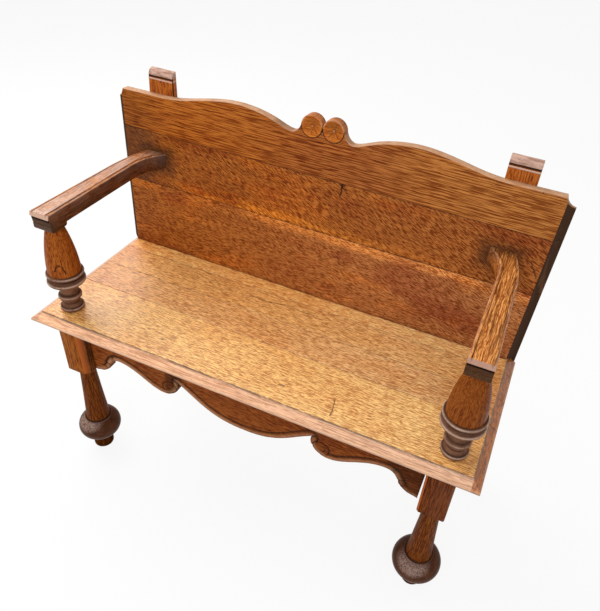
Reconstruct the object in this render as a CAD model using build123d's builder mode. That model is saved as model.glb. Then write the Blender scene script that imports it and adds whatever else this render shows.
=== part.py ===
# Oak hall settle: boarded seat and leaning back, carved crest, shaped arms, turned front legs.
# Frame: origin on the floor under the middle of the settle, +Z up, the front faces -Y,
# +X is the right-hand side for someone who stands in front of it. Millimetres and degrees.
from build123d import *
from math import cos, radians, sin, tan
import os

# Seat
seat_height = 474.0
seat_face_length = 1000.0
seat_face_depth = 345.0
seat_thickness = 22.0
front_board_depth = 142.0
second_board_depth = 83.0
third_board_depth = 82.0
front_edge_out = 18.0
side_edge_out = 20.0
edge_drop = 16.0
edge_step = 1.2
edge_bulge = 1.2
edge_round = 2.0

# Back
back_tilt = 3.7
back_thickness = 21.0
back_height = 401.0
back_foot_out = 16.0
back_ear_out = 27.0
ear_drop = 22.0
cove_width = 18.0
cove_depth = 16.0
cove_quirk = 1.5
lower_board_height = 180.0
middle_board_height = 131.0

# Crest
crest_length = 800.0
crest_rise = 26.0
neck_rise = 9.0
flank_out = 9.5
flank_rise = 4.0
lobe_radius = 23.0
lobe_gap = 1.0
lobe_rise = 18.0
dish_radius = 17.5
dish_depth = 2.4
boss_radius = 3.6
# Half of the crest line, as shares of half its length and of its rise
crest_line_shares = [
    (1.000, 0.00),
    (0.868, 0.17),
    (0.733, 0.58),
    (0.595, 0.93),
    (0.525, 1.00),
    (0.438, 0.93),
    (0.363, 0.74),
    (0.295, 0.46),
    (0.233, 0.10),
    (0.172, -0.12),
]

# Back posts
post_width = 63.0
post_inset = 17.0
post_foot_depth = 45.0
post_rise = 449.0
roll_height = 12.0
cap_fillet_height = 2.5
cap_fillet_depth = 1.5
groove_height = 3.5
groove_depth = 3.0
bead_height = 5.0
bead_out = 1.4
post_foot_chamfer = 3.0

# Arms
arm_rise = 264.0
arm_thickness = 36.0
pad_thickness = 44.0
pad_length = 60.0
pad_round = 6.0
arm_inset = 25.0
arm_front_width = 48.0
arm_front_setback = 10.0
arm_outer_taper = 6.0
arm_outer_bend = 235.0
arm_inner_bend = 280.0
arm_outer_sweep = 22.0
arm_inner_sweep = 38.0
lip_height = 12.0
lip_slope = 3.0
arm_groove_height = 5.0
arm_groove_depth = 7.0
nose_in = 4.0
nose_round = 6.0
arm_edge_chamfer = 3.0

# Turned arm supports: radii and heights above the seat
support_inset = 48.7
support_setback = 44.0
base_bead_radius = 27.5
base_bead_height = 15.0
base_seat_radius = 24.0
waist_radius = 19.5
waist_height = 15.0
neck_bead_radius = 27.0
neck_bead_height = 15.0
neck_fillet_radius = 21.5
cup_foot_height = 54.0
cup_foot_radius = 21.0
cup_top_height = 80.5
lower_ring_radius = 43.5
lower_ring_height = 10.5
ring_cove_radius = 36.5
ring_cove_height = 9.5
upper_ring_radius = 42.5
upper_ring_height = 8.5
cone_foot_radius = 37.5
cone_middle_radius = 32.5
cone_top_radius = 18.5
support_tenon_radius = 10.0
support_foot_tenon = 15.0
support_head_tenon = 24.0

# Front legs: radii and heights above the floor
leg_block_width = 60.0
leg_inset = 53.7
leg_setback = 38.5
leg_block_drop = 158.0
leg_block_chamfer = 2.5
toe_radius = 25.0
toe_height = 46.0
toe_round = 6.0
bun_radius = 55.0
bun_height = 64.0
bun_neck_radius = 33.0
leg_ring_height = 3.0
column_foot_radius = 29.5
column_middle_radius = 23.3
column_top_radius = 18.5

# Apron and rails
apron_thickness = 20.0
apron_setback = 34.5
apron_drop = 161.0
apron_foot_gap = 6.0
rail_thickness = 22.0
rail_height = 90.0
side_rail_inset = 15.3
# Half of the apron's lower edge, as shares of its half length and of its drop
belly_shares = [(0.122, 0.969), (0.232, 0.857), (0.331, 0.686), (0.405, 0.560)]
scroll_shares = [(0.402, 0.655), (0.428, 0.790), (0.478, 0.873), (0.548, 0.868), (0.625, 0.780), (0.720, 0.655)]
arch_shares = [(0.812, 0.602), (0.850, 0.628), (0.874, 0.700), (0.890, 0.800)]
bracket_shares = [(0.918, 0.875), (0.957, 0.928), (1.000, 0.965)]

# Blocks, battens, dowels and screws
glue_block_width = 25.0
glue_block_length = 70.0
apron_block_spacing = 180.0
side_block_spacing = 120.0
batten_width = 45.0
batten_thickness = 20.0
batten_spacing = 420.0
batten_margin = 12.0
dowel_radius = 5.0
dowel_reach = 24.0
dowel_spacing = 50.0
screw_radius = 2.2
screw_head_radius = 4.6
screw_head_height = 2.6
screw_slot_width = 1.1
screw_slot_depth = 0.9
batten_screw_length = 34.0
rail_screw_length = 45.0
rail_screw_spacing = 250.0
board_screw_grip = 14.0
arm_screw_grip = 12.0
arm_screw_spacing = 18.0
arm_screw_inset = 22.0
board_screw_heights = [55.0, 125.0, 210.0, 285.0, 350.0]

# Fits and cuts
fit_clearance = 0.1
overrun = 5.0

# Places worked out from the sizes above
tilt_rise = tan(radians(back_tilt))
back_depth = back_thickness / cos(radians(back_tilt))
front_reach = max(front_edge_out, bun_radius - leg_setback)
overall_depth = front_reach + seat_face_depth + back_depth + post_foot_depth
arris_y = front_reach - overall_depth / 2
panel_y = arris_y + seat_face_depth
post_front_y = panel_y + back_depth
post_rear_y = post_front_y + post_foot_depth
seat_under = seat_height - seat_thickness
seat_end_x = seat_face_length / 2
leg_x = seat_end_x - leg_inset
leg_y = arris_y + leg_setback
leg_inner_x = leg_x - leg_block_width / 2
leg_rear_y = leg_y + leg_block_width / 2
rail_x = leg_x - side_rail_inset
post_x = rail_x - post_inset
post_inner_x = post_x - post_width / 2
support_x = seat_end_x - support_inset
support_y = arris_y + support_setback
apron_y = arris_y + apron_setback
arm_outer_x = seat_end_x - arm_inset
arm_inner_x = arm_outer_x - arm_front_width
arm_rear_outer_x = arm_outer_x - arm_outer_taper - arm_outer_sweep
back_foot_x = seat_end_x + back_foot_out
back_ear_x = seat_end_x + back_ear_out
socket_radius = support_tenon_radius + fit_clearance
sides = (1, -1)

# Front face of the leaning back: local X to the right, local Y up the boards, normal to the front
face_plane = Plane(
    origin=(0, panel_y, seat_height),
    x_dir=(1, 0, 0),
    z_dir=(0, -cos(radians(back_tilt)), sin(radians(back_tilt))),
)


def post_face(height):
    """Y of the posts' sloping front face at a height above the seat."""
    return post_front_y + tilt_rise * height


def pin(plane, radius, length, mode=Mode.ADD):
    """A round pin from the plane, against its normal."""
    with BuildSketch(plane) as section:
        Circle(radius)
    extrude(section.sketch, amount=-length, mode=mode)


def screw_body(plane, length, extra=0, mode=Mode.ADD):
    """A countersunk screw, or the hole for it, head flush with the plane."""
    pin(plane, screw_radius + extra, length + extra, mode)
    with BuildSketch(plane) as head:
        Circle(screw_head_radius + extra)
    with BuildSketch(plane.offset(-screw_head_height)) as neck:
        Circle(screw_radius + extra)
    loft([head.sketch, neck.sketch], mode=mode)


def screw_slot(plane):
    """The driver's slot across a screw head."""
    with BuildSketch(plane) as slot:
        Rectangle(screw_head_radius * 3, screw_slot_width)
    extrude(slot.sketch, amount=-screw_slot_depth, mode=Mode.SUBTRACT)


def finish(piece, name):
    """Label a piece and write it."""
    piece.part.label = name
    export_step(piece.part, f"parts/{name}.step")


def screw_group(name, places):
    """Screws on their planes, in one node."""
    with BuildPart() as screws:
        for plane, length in places:
            screw_body(plane, length)
            screw_slot(plane)
    finish(screws, name)


def upward(x, y, z):
    """A plane for a screw or socket that goes up from below."""
    return Plane(origin=(x, y, z), x_dir=(1, 0, 0), z_dir=(0, 0, -1))


def forward(x, y, z):
    """A screw's plane, driven to the front from behind."""
    return Plane(origin=(x, y, z), x_dir=(1, 0, 0), z_dir=(0, 1, 0))


def upright(x, y, z):
    """A standing plane that faces the front, for turned profiles and the apron."""
    return Plane(origin=(x, y, z), x_dir=(1, 0, 0), z_dir=(0, -1, 0))


os.makedirs("parts", exist_ok=True)

# Where the screws and dowels go
batten_screw_z = seat_under - batten_thickness
joint_one_y = arris_y + front_board_depth
joint_two_y = joint_one_y + second_board_depth
joint_three_y = joint_two_y + third_board_depth
batten_front_y = apron_y + apron_thickness + glue_block_width + batten_margin
batten_rear_y = post_front_y - batten_margin
batten_screw_ys = [
    (batten_front_y + joint_one_y) / 2,
    (joint_one_y + joint_two_y) / 2,
    (joint_two_y + joint_three_y) / 2,
    (joint_three_y + batten_rear_y) / 2,
]
batten_screws = []
for side in sides:
    for y in batten_screw_ys:
        batten_screws.append((upward(side * batten_spacing / 2, y, batten_screw_z), batten_screw_length))

rail_screw_z = seat_height - seat_thickness / 2
rail_screws = []
for step in (-1, 0, 1):
    place = forward(step * rail_screw_spacing, post_front_y + rail_thickness, rail_screw_z)
    rail_screws.append((place, rail_screw_length))

board_screws = []
for side in sides:
    for height in board_screw_heights:
        length = post_rear_y - post_face(height) + board_screw_grip
        board_screws.append((forward(side * post_x, post_rear_y, seat_height + height), length))

arm_screw_rise = arm_rise - arm_thickness / 2
arm_screw_length = post_rear_y - post_face(arm_screw_rise) + back_depth + arm_screw_grip
arm_screws = []
for side in sides:
    for step in (-1, 1):
        x = side * (arm_rear_outer_x - arm_screw_inset) + step * arm_screw_spacing / 2
        arm_screws.append((forward(x, post_rear_y, seat_height + arm_screw_rise), arm_screw_length))

side_rail_z = seat_under - rail_height / 2
rear_rail_z = seat_height - rail_height / 2
side_rail_dowels = []
for side in sides:
    for y in (leg_rear_y, post_front_y):
        for step in (-1, 1):
            place = forward(side * rail_x, y + dowel_reach, side_rail_z + step * dowel_spacing / 2)
            side_rail_dowels.append(place)
rear_rail_dowels = []
for side in sides:
    for step in (-1, 1):
        place = Plane(
            origin=(
                side * (post_inner_x + dowel_reach),
                post_front_y + rail_thickness / 2,
                rear_rail_z + step * dowel_spacing / 2,
            ),
            x_dir=(0, 1, 0),
            z_dir=(side, 0, 0),
        )
        rear_rail_dowels.append(place)
all_dowels = side_rail_dowels + rear_rail_dowels


def dowel_holes():
    """Holes for the dowels in a rail, leg or post."""
    hole_radius = dowel_radius + fit_clearance
    hole_length = 2 * (dowel_reach + fit_clearance)
    for place in all_dowels:
        pin(place.offset(fit_clearance), hole_radius, hole_length, Mode.SUBTRACT)


def screw_holes(places):
    """Holes for a group of screws."""
    for plane, length in places:
        screw_body(plane, length, fit_clearance, Mode.SUBTRACT)


# Seat boards
def edge_cut(plane, out, length):
    """Cut the moulded edge: a small step, then a slightly rounded bevel down to the outer edge."""
    head = Vector(0, -edge_step)
    foot = Vector(out, -edge_drop)
    outward = Vector(head.Y - foot.Y, foot.X - head.X).normalized()
    middle = (head + foot) / 2 + outward * edge_bulge
    with BuildSketch(plane) as waste:
        with BuildLine():
            Line((0, overrun), head)
            ThreePointArc(head, middle, foot)
            Line(foot, (out + overrun, -edge_drop))
            Line((out + overrun, -edge_drop), (out + overrun, overrun))
            Line((out + overrun, overrun), (0, overrun))
        make_face()
    extrude(waste.sketch, amount=length, both=True, mode=Mode.SUBTRACT)


def seat_board(name, board_front_y, board_rear_y, moulded_front=False):
    """One board of the seat, with its moulded ends."""
    board_length = seat_face_length + 2 * side_edge_out
    with BuildPart() as board:
        with BuildSketch(Plane.XY.offset(seat_under)):
            with Locations((0, (board_front_y + board_rear_y) / 2)):
                Rectangle(board_length, board_rear_y - board_front_y)
        extrude(amount=seat_thickness)
        for side in sides:
            end_plane = Plane(
                origin=(side * seat_end_x, 0, seat_height), x_dir=(side, 0, 0), z_dir=(0, -side, 0)
            )
            edge_cut(end_plane, side_edge_out, overall_depth)
        if moulded_front:
            front_plane = Plane(origin=(0, arris_y, seat_height), x_dir=(0, -1, 0), z_dir=(-1, 0, 0))
            edge_cut(front_plane, front_edge_out, board_length)
            fillet(board.edges().filter_by(Axis.X).group_by(Axis.Z)[0].sort_by(Axis.Y)[0], edge_round)
            for side in sides:
                socket = Plane((side * support_x, support_y, seat_height))
                pin(socket, socket_radius, support_foot_tenon + fit_clearance, Mode.SUBTRACT)
        screw_holes(batten_screws)
        screw_holes(rail_screws)
    finish(board, name)


seat_board("seat_board_front", arris_y - front_edge_out, joint_one_y, moulded_front=True)
seat_board("seat_board_second", joint_one_y, joint_two_y)
seat_board("seat_board_third", joint_two_y, joint_three_y)
seat_board("seat_board_rear", joint_three_y, post_front_y)


# Back boards
def back_outline():
    """The whole back's outline on its front face, with the crest and its two round lobes."""
    half_top = back_ear_x - ear_drop
    half_crest = crest_length / 2
    lobe_x = lobe_radius + lobe_gap / 2
    lobe_side = lobe_x + lobe_radius
    crest_points = [(half_crest * x, back_height + crest_rise * rise) for x, rise in crest_line_shares]
    neck_x, neck_y = crest_points[-1]
    ear_foot = (back_ear_x, back_height - ear_drop)
    with BuildSketch(face_plane) as outline:
        with BuildLine():
            Line((0, -overrun), (back_foot_x, -overrun))
            Line((back_foot_x, -overrun), ear_foot)
            RadiusArc(ear_foot, (half_top, back_height), ear_drop * 1.05, short_sagitta=True)
            Line((half_top, back_height), crest_points[0])
            Spline(*crest_points, tangents=[(-1, 0), (-1, 0)])
            ThreePointArc(
                (neck_x, neck_y),
                (lobe_side + flank_out, back_height + flank_rise),
                (lobe_side, back_height + lobe_rise),
            )
            Line((lobe_side, back_height + lobe_rise), (lobe_x, back_height + neck_rise))
            Line((lobe_x, back_height + neck_rise), (0, back_height + neck_rise))
            mirror(about=Plane.YZ)
        make_face()
        with Locations((lobe_x, back_height + lobe_rise), (-lobe_x, back_height + lobe_rise)):
            Circle(lobe_radius)
    return outline.sketch


def cove_cut(side):
    """Cut the hollow moulding along one leaning side edge of the back."""
    rise = back_height - ear_drop + overrun
    edge_foot = face_plane.from_local_coords(Vector(side * back_foot_x, -overrun, 0))
    edge_head = face_plane.from_local_coords(Vector(side * back_ear_x, back_height - ear_drop, 0))
    along = (edge_head - edge_foot).normalized()
    outward = face_plane.x_dir * side
    section = Plane(origin=edge_foot, x_dir=outward - along * outward.dot(along), z_dir=along * -side)
    depth_sign = section.to_local_coords(section.origin - face_plane.z_dir).Y
    corner = cove_depth * depth_sign
    quirk = cove_quirk * depth_sign
    with BuildSketch(section) as hollow:
        with BuildLine():
            Line((-cove_width, -overrun * depth_sign), (-cove_width, quirk))
            ThreePointArc((-cove_width, quirk), (-cove_width * 0.68, corner * 0.70), (0, corner))
            Line((0, corner), (overrun, corner))
            Line((overrun, corner), (overrun, -overrun * depth_sign))
            Line((overrun, -overrun * depth_sign), (-cove_width, -overrun * depth_sign))
        make_face()
    extrude(hollow.sketch, amount=rise + overrun, both=True, mode=Mode.SUBTRACT)


def joint_plane(height):
    """The plane of a joint between two boards, square to the leaning face."""
    return Plane(origin=face_plane.from_local_coords(Vector(0, height, 0)), z_dir=face_plane.y_dir)


def back_board(name, low, high, with_crest=False):
    """One board of the back, from one joint height up to the next."""
    with BuildPart() as board:
        extrude(back_outline(), amount=-back_thickness)
        for side in sides:
            cove_cut(side)
        low_cut = Plane.XY.offset(seat_height)
        if low > 0:
            low_cut = joint_plane(low)
        split(bisect_by=low_cut, keep=Keep.TOP)
        if with_crest:
            lobe_x = lobe_radius + lobe_gap / 2
            for side in sides:
                centre = face_plane.from_local_coords(Vector(side * lobe_x, back_height + lobe_rise, 0))
                lobe_face = Plane(origin=centre, x_dir=face_plane.x_dir, z_dir=face_plane.z_dir)
                with BuildSketch(lobe_face):
                    Circle(dish_radius)
                    Circle(boss_radius, mode=Mode.SUBTRACT)
                extrude(amount=-dish_depth, mode=Mode.SUBTRACT)
        else:
            split(bisect_by=joint_plane(high), keep=Keep.BOTTOM)
        screw_holes(board_screws)
        screw_holes(arm_screws)
    finish(board, name)


first_joint = lower_board_height
second_joint = lower_board_height + middle_board_height
back_board("back_board_lower", 0, first_joint)
back_board("back_board_middle", first_joint, second_joint)
back_board("back_board_top", second_joint, back_height, with_crest=True)


# Back posts, from the floor to the rolled caps above the crest
def back_post(name, side):
    top = seat_height + post_rise
    roll_start = post_rise - roll_height
    groove_top = roll_start - cap_fillet_height
    groove_foot = groove_top - groove_height
    bead_foot = groove_foot - bead_height
    roll_front = (post_face(roll_start), seat_height + roll_start)
    roll_middle = (
        post_face(roll_start) + (post_rear_y - post_face(roll_start)) * 0.25,
        top - roll_height * 0.33,
    )
    bead_middle = bead_foot + bead_height / 2
    with BuildPart() as post:
        with BuildSketch(Plane.YZ.offset(side * post_x)):
            with BuildLine():
                Polyline(
                    (post_rear_y, top),
                    (post_rear_y, 0),
                    (post_front_y, 0),
                    (post_front_y, seat_height),
                    (post_face(bead_foot), seat_height + bead_foot),
                )
                ThreePointArc(
                    (post_face(bead_foot), seat_height + bead_foot),
                    (post_face(bead_middle) - bead_out, seat_height + bead_middle),
                    (post_face(groove_foot), seat_height + groove_foot),
                )
                Polyline(
                    (post_face(groove_foot), seat_height + groove_foot),
                    (post_face(groove_foot) + groove_depth, seat_height + groove_foot),
                    (post_face(groove_top) + groove_depth, seat_height + groove_top),
                    (post_face(groove_top) + cap_fillet_depth, seat_height + groove_top),
                    (post_face(roll_start) + cap_fillet_depth, seat_height + roll_start),
                    roll_front,
                )
                ThreePointArc(roll_front, roll_middle, (post_rear_y, top))
            make_face()
        extrude(amount=post_width / 2, both=True)
        chamfer(post.faces().sort_by(Axis.Z)[0].edges(), post_foot_chamfer)
        dowel_holes()
        screw_holes(board_screws)
        screw_holes(arm_screws)
    finish(post, name)


back_post("back_post_right", 1)
back_post("back_post_left", -1)


# Arms: the end profile gives the lip, groove and pad, the plan gives the sweep into the back
def arm_profile():
    """Side profile of the arm, drawn long enough to reach through the back's face."""
    top = seat_height + arm_rise
    front = arris_y + arm_front_setback
    pad_under = top - pad_thickness
    arm_under = top - arm_thickness
    lip_foot = top - lip_height
    groove_foot = lip_foot - arm_groove_height
    nose_y = front + nose_in
    pad_end = front + pad_length
    with BuildSketch(Plane.YZ) as profile:
        with BuildLine():
            Polyline(
                (front + lip_slope, top),
                (front, lip_foot),
                (front + arm_groove_depth, lip_foot),
                (front + arm_groove_depth, groove_foot),
                (nose_y, groove_foot),
                (nose_y, pad_under + nose_round),
            )
            RadiusArc((nose_y, pad_under + nose_round), (nose_y + nose_round, pad_under), -nose_round)
            Polyline((nose_y + nose_round, pad_under), (pad_end - pad_round, pad_under))
            RadiusArc((pad_end - pad_round, pad_under), (pad_end, pad_under + pad_round), -pad_round)
            Polyline(
                (pad_end, pad_under + pad_round),
                (pad_end, arm_under),
                (post_front_y, arm_under),
                (post_front_y, top),
                (front + lip_slope, top),
            )
        make_face()
    return profile.sketch


def arm_plan(side):
    """Plan of the arm: a straight front part that sweeps inward at the back."""
    front = arris_y + arm_front_setback
    inner = arm_inner_x
    outer = arm_outer_x
    outer_bend_y = arris_y + arm_outer_bend
    inner_bend_y = arris_y + arm_inner_bend
    rear = post_front_y
    with BuildSketch(Plane.XY.offset(seat_height)) as plan:
        with BuildLine():
            Line((side * inner, front - overrun), (side * outer, front - overrun))
            Line((side * outer, front - overrun), (side * (outer - arm_outer_taper), outer_bend_y))
            TangentArc(
                (side * (outer - arm_outer_taper), outer_bend_y),
                (side * arm_rear_outer_x, rear),
                tangent=(0, 1),
            )
            Line((side * arm_rear_outer_x, rear), (side * (inner - arm_inner_sweep), rear))
            TangentArc(
                (side * inner, inner_bend_y), (side * (inner - arm_inner_sweep), rear), tangent=(0, 1)
            )
            Line((side * inner, inner_bend_y), (side * inner, front - overrun))
        make_face()
    return plan.sketch


def arm(name, side):
    """One arm, with the socket for its turned support."""
    pad_under = seat_height + arm_rise - pad_thickness
    with BuildPart() as piece:
        extrude(arm_profile(), amount=side * (arm_outer_x + overrun))
        extrude(arm_plan(side), amount=arm_rise + overrun, mode=Mode.INTERSECT)
        split(bisect_by=face_plane, keep=Keep.TOP)
        top_edges = piece.faces().filter_by(Axis.Z).sort_by(Axis.Z)[-1].edges()
        chamfer([edge for edge in top_edges if abs(edge.tangent_at(0.5).Y) > 0.5], arm_edge_chamfer)
        socket = upward(side * support_x, support_y, pad_under)
        pin(socket, socket_radius, support_head_tenon + fit_clearance, Mode.SUBTRACT)
        screw_holes(arm_screws)
    finish(piece, name)


arm("arm_right", 1)
arm("arm_left", -1)


# Turned supports between the seat and the arms
def arm_support(name, side):
    height = arm_rise - pad_thickness
    neck_foot = base_bead_height + waist_height
    neck_top = neck_foot + neck_bead_height
    ring_top = cup_top_height + lower_ring_height
    cove_top = ring_top + ring_cove_height
    cone_foot = cove_top + upper_ring_height
    lower_ring_edge = lower_ring_radius - lower_ring_height / 2
    upper_ring_edge = upper_ring_radius - upper_ring_height / 2
    with BuildPart() as support:
        with BuildSketch(upright(side * support_x, support_y, seat_height)):
            with BuildLine():
                Polyline(
                    (0, -support_foot_tenon),
                    (support_tenon_radius, -support_foot_tenon),
                    (support_tenon_radius, 0),
                    (base_seat_radius, 0),
                )
                ThreePointArc(
                    (base_seat_radius, 0),
                    (base_bead_radius, base_bead_height / 2),
                    (neck_fillet_radius, base_bead_height),
                )
                ThreePointArc(
                    (neck_fillet_radius, base_bead_height),
                    (waist_radius, base_bead_height + waist_height / 2),
                    (neck_fillet_radius, neck_foot),
                )
                ThreePointArc(
                    (neck_fillet_radius, neck_foot),
                    (neck_bead_radius, neck_foot + neck_bead_height / 2),
                    (neck_fillet_radius, neck_top),
                )
                Line((neck_fillet_radius, neck_top), (cup_foot_radius, cup_foot_height))
                Spline(
                    (cup_foot_radius, cup_foot_height),
                    (lower_ring_edge, cup_top_height),
                    tangents=[(0.4, 1), (1, 0.3)],
                )
                ThreePointArc(
                    (lower_ring_edge, cup_top_height),
                    (lower_ring_radius, cup_top_height + lower_ring_height / 2),
                    (lower_ring_edge, ring_top),
                )
                ThreePointArc(
                    (lower_ring_edge, ring_top),
                    (ring_cove_radius, ring_top + ring_cove_height / 2),
                    (upper_ring_edge, cove_top),
                )
                ThreePointArc(
                    (upper_ring_edge, cove_top),
                    (upper_ring_radius, cove_top + upper_ring_height / 2),
                    (upper_ring_edge, cone_foot),
                )
                Line((upper_ring_edge, cone_foot), (cone_foot_radius, cone_foot))
                ThreePointArc(
                    (cone_foot_radius, cone_foot),
                    (cone_middle_radius, (cone_foot + height) / 2),
                    (cone_top_radius, height),
                )
                Polyline(
                    (cone_top_radius, height),
                    (support_tenon_radius, height),
                    (support_tenon_radius, height + support_head_tenon),
                    (0, height + support_head_tenon),
                    (0, -support_foot_tenon),
                )
            make_face()
        axis = Axis((side * support_x, support_y, seat_height), (0, 0, 1))
        revolve(axis=axis)
    finish(support, name)


arm_support("arm_support_right", 1)
arm_support("arm_support_left", -1)


# Front legs: a square block, a flared column, a bun and a toe in one turning
def front_leg(name, side):
    block_foot = seat_under - leg_block_drop
    bun_top = toe_height + bun_height
    column_foot = bun_top + leg_ring_height
    with BuildPart() as leg:
        with BuildSketch(Plane.XY.offset(block_foot)):
            with Locations((side * leg_x, leg_y)):
                Rectangle(leg_block_width, leg_block_width)
        extrude(amount=leg_block_drop)
        chamfer(leg.edges().filter_by(Axis.Z), leg_block_chamfer)
        with BuildSketch(upright(side * leg_x, leg_y, 0)):
            with BuildLine():
                Line((0, 0), (toe_radius - toe_round, 0))
                RadiusArc((toe_radius - toe_round, 0), (toe_radius, toe_round), -toe_round)
                Line((toe_radius, toe_round), (toe_radius, toe_height))
                ThreePointArc(
                    (toe_radius, toe_height),
                    (bun_radius, toe_height + bun_height / 2),
                    (bun_neck_radius, bun_top),
                )
                Polyline(
                    (bun_neck_radius, bun_top),
                    (bun_neck_radius, column_foot),
                    (column_foot_radius, column_foot),
                )
                ThreePointArc(
                    (column_foot_radius, column_foot),
                    (column_middle_radius, (column_foot + block_foot) / 2),
                    (column_top_radius, block_foot),
                )
                Polyline(
                    (column_top_radius, block_foot),
                    (column_top_radius, block_foot + overrun),
                    (0, block_foot + overrun),
                    (0, 0),
                )
            make_face()
        revolve(axis=Axis((side * leg_x, leg_y, 0), (0, 0, 1)))
        dowel_holes()
    finish(leg, name)


front_leg("front_leg_right", 1)
front_leg("front_leg_left", -1)

# Front apron: leaning ends, a deep belly, two scrolls and two arches
apron_top_half = leg_inner_x
apron_foot_half = leg_inner_x - apron_foot_gap


def apron_points(shares):
    """Places on the lower edge from shares of the half length and of the drop."""
    return [(apron_foot_half * x, seat_under - apron_drop * drop) for x, drop in shares]


with BuildPart() as front_apron:
    belly = [(0, seat_under - apron_drop)] + apron_points(belly_shares)
    scroll = [belly[-1]] + apron_points(scroll_shares) + apron_points(arch_shares)[:1]
    arch = apron_points(arch_shares)
    bracket = [arch[-1]] + apron_points(bracket_shares)
    with BuildSketch(upright(0, apron_y, 0)):
        with BuildLine():
            Spline(*belly, tangents=[(1, 0), (1, 0.55)])
            Spline(*scroll, tangents=[(-0.3, -1), (1, 0)])
            Spline(*arch, tangents=[(1, 0), (0.25, -1)])
            Spline(*bracket[:-1], tangents=[(0.6, -1), (1, -0.1)])
            Polyline(*bracket[-2:], (apron_top_half, seat_under), (0, seat_under))
            mirror(about=Plane.YZ)
        make_face()
    extrude(amount=-apron_thickness)
finish(front_apron, "front_apron")


# Rails under the seat and behind it
def side_rail(name, side):
    with BuildPart() as rail:
        with BuildSketch(Plane.XY.offset(seat_under)):
            with Locations((side * rail_x, (leg_rear_y + post_front_y) / 2)):
                Rectangle(rail_thickness, post_front_y - leg_rear_y)
        extrude(amount=-rail_height)
        dowel_holes()
    finish(rail, name)


side_rail("side_rail_right", 1)
side_rail("side_rail_left", -1)

with BuildPart() as rear_rail:
    with BuildSketch(Plane.XY.offset(seat_height)):
        with Locations((0, post_front_y + rail_thickness / 2)):
            Rectangle(2 * post_inner_x, rail_thickness)
    extrude(amount=-rail_height)
    dowel_holes()
    screw_holes(rail_screws)
finish(rear_rail, "rear_rail")


# Battens across the boards, under the seat
def seat_batten(name, side):
    with BuildPart() as batten:
        with BuildSketch(Plane.XY.offset(seat_under)):
            with Locations((side * batten_spacing / 2, (batten_front_y + batten_rear_y) / 2)):
                Rectangle(batten_width, batten_rear_y - batten_front_y)
        extrude(amount=-batten_thickness)
        screw_holes(batten_screws)
    finish(batten, name)


seat_batten("seat_batten_right", 1)
seat_batten("seat_batten_left", -1)


# Glue blocks in the corners between the seat and the apron and side rails
def glue_block(x, y, along_x):
    """A square-section block under the seat."""
    size_x = glue_block_length if along_x else glue_block_width
    size_y = glue_block_width if along_x else glue_block_length
    with BuildSketch(Plane.XY.offset(seat_under)) as footprint:
        with Locations((x, y)):
            Rectangle(size_x, size_y)
    extrude(footprint.sketch, amount=-glue_block_width)


with BuildPart() as apron_blocks:
    for step in (-3, -1, 1, 3):
        block_y = apron_y + apron_thickness + glue_block_width / 2
        glue_block(step * apron_block_spacing / 2, block_y, along_x=True)
finish(apron_blocks, "apron_blocks")

with BuildPart() as side_rail_blocks:
    for side in sides:
        for step in (-1, 1):
            block_x = side * (rail_x - rail_thickness / 2 - glue_block_width / 2)
            block_y = (leg_rear_y + post_front_y) / 2 + step * side_block_spacing / 2
            glue_block(block_x, block_y, along_x=False)
finish(side_rail_blocks, "side_rail_blocks")

# Dowels and screws
with BuildPart() as rail_dowels:
    for place in all_dowels:
        pin(place, dowel_radius, 2 * dowel_reach)
finish(rail_dowels, "rail_dowels")

screw_group("batten_screws", batten_screws)
screw_group("rail_screws", rail_screws)
screw_group("back_board_screws", board_screws)
screw_group("arm_screws", arm_screws)
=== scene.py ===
"""Carved oak hall settle: its visible pieces, finishes and stage, in metres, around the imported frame."""

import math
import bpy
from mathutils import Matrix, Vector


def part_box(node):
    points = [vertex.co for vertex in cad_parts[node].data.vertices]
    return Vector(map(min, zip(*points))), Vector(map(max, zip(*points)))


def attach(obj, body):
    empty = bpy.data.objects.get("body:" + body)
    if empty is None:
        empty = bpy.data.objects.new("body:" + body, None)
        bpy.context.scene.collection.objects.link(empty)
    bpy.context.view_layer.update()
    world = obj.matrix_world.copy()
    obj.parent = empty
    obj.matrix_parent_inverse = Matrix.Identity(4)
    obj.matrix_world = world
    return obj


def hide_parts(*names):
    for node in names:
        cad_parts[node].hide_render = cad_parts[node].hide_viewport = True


bl_info = {
    "name": "Carved Oak Hall Settle",
    "version": (1, 0, 0),
    "blender": (4, 5, 0),
    "location": "View3D > Sidebar > Settle",
    "description": "Builds the boards, arms, turnings, carving, oak finishes and stage of a hall settle",
    "category": "Add Mesh",
}

import bpy
import numpy as np
from mathutils import Matrix, Vector, geometry

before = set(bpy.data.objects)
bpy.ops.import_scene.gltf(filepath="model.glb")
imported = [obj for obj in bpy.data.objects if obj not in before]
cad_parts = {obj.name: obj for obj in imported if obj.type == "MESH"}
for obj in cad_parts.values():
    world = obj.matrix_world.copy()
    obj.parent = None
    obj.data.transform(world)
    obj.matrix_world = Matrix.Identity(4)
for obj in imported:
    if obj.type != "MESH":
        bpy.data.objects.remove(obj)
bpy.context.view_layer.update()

MM = 0.001
SIDES = (("right", 1), ("left", -1))
# The photograph's size and the camera's focal length, in its pixels
PICTURE_WIDTH, PICTURE_HEIGHT, FOCAL_PIXELS = 600, 611, 608.46

# Fixed places, read from the frame where a node gives them
SEAT_LOW, SEAT_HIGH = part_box("seat_board_front")
SEAT_TOP = SEAT_HIGH.z
SEAT_UNDER = SEAT_LOW.z
POST_LOW, POST_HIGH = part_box("back_post_right")
POST_REAR = POST_HIGH.y
POST_X = (POST_LOW.x + POST_HIGH.x) / 2
APRON_LOW, APRON_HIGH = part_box("front_apron")


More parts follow.
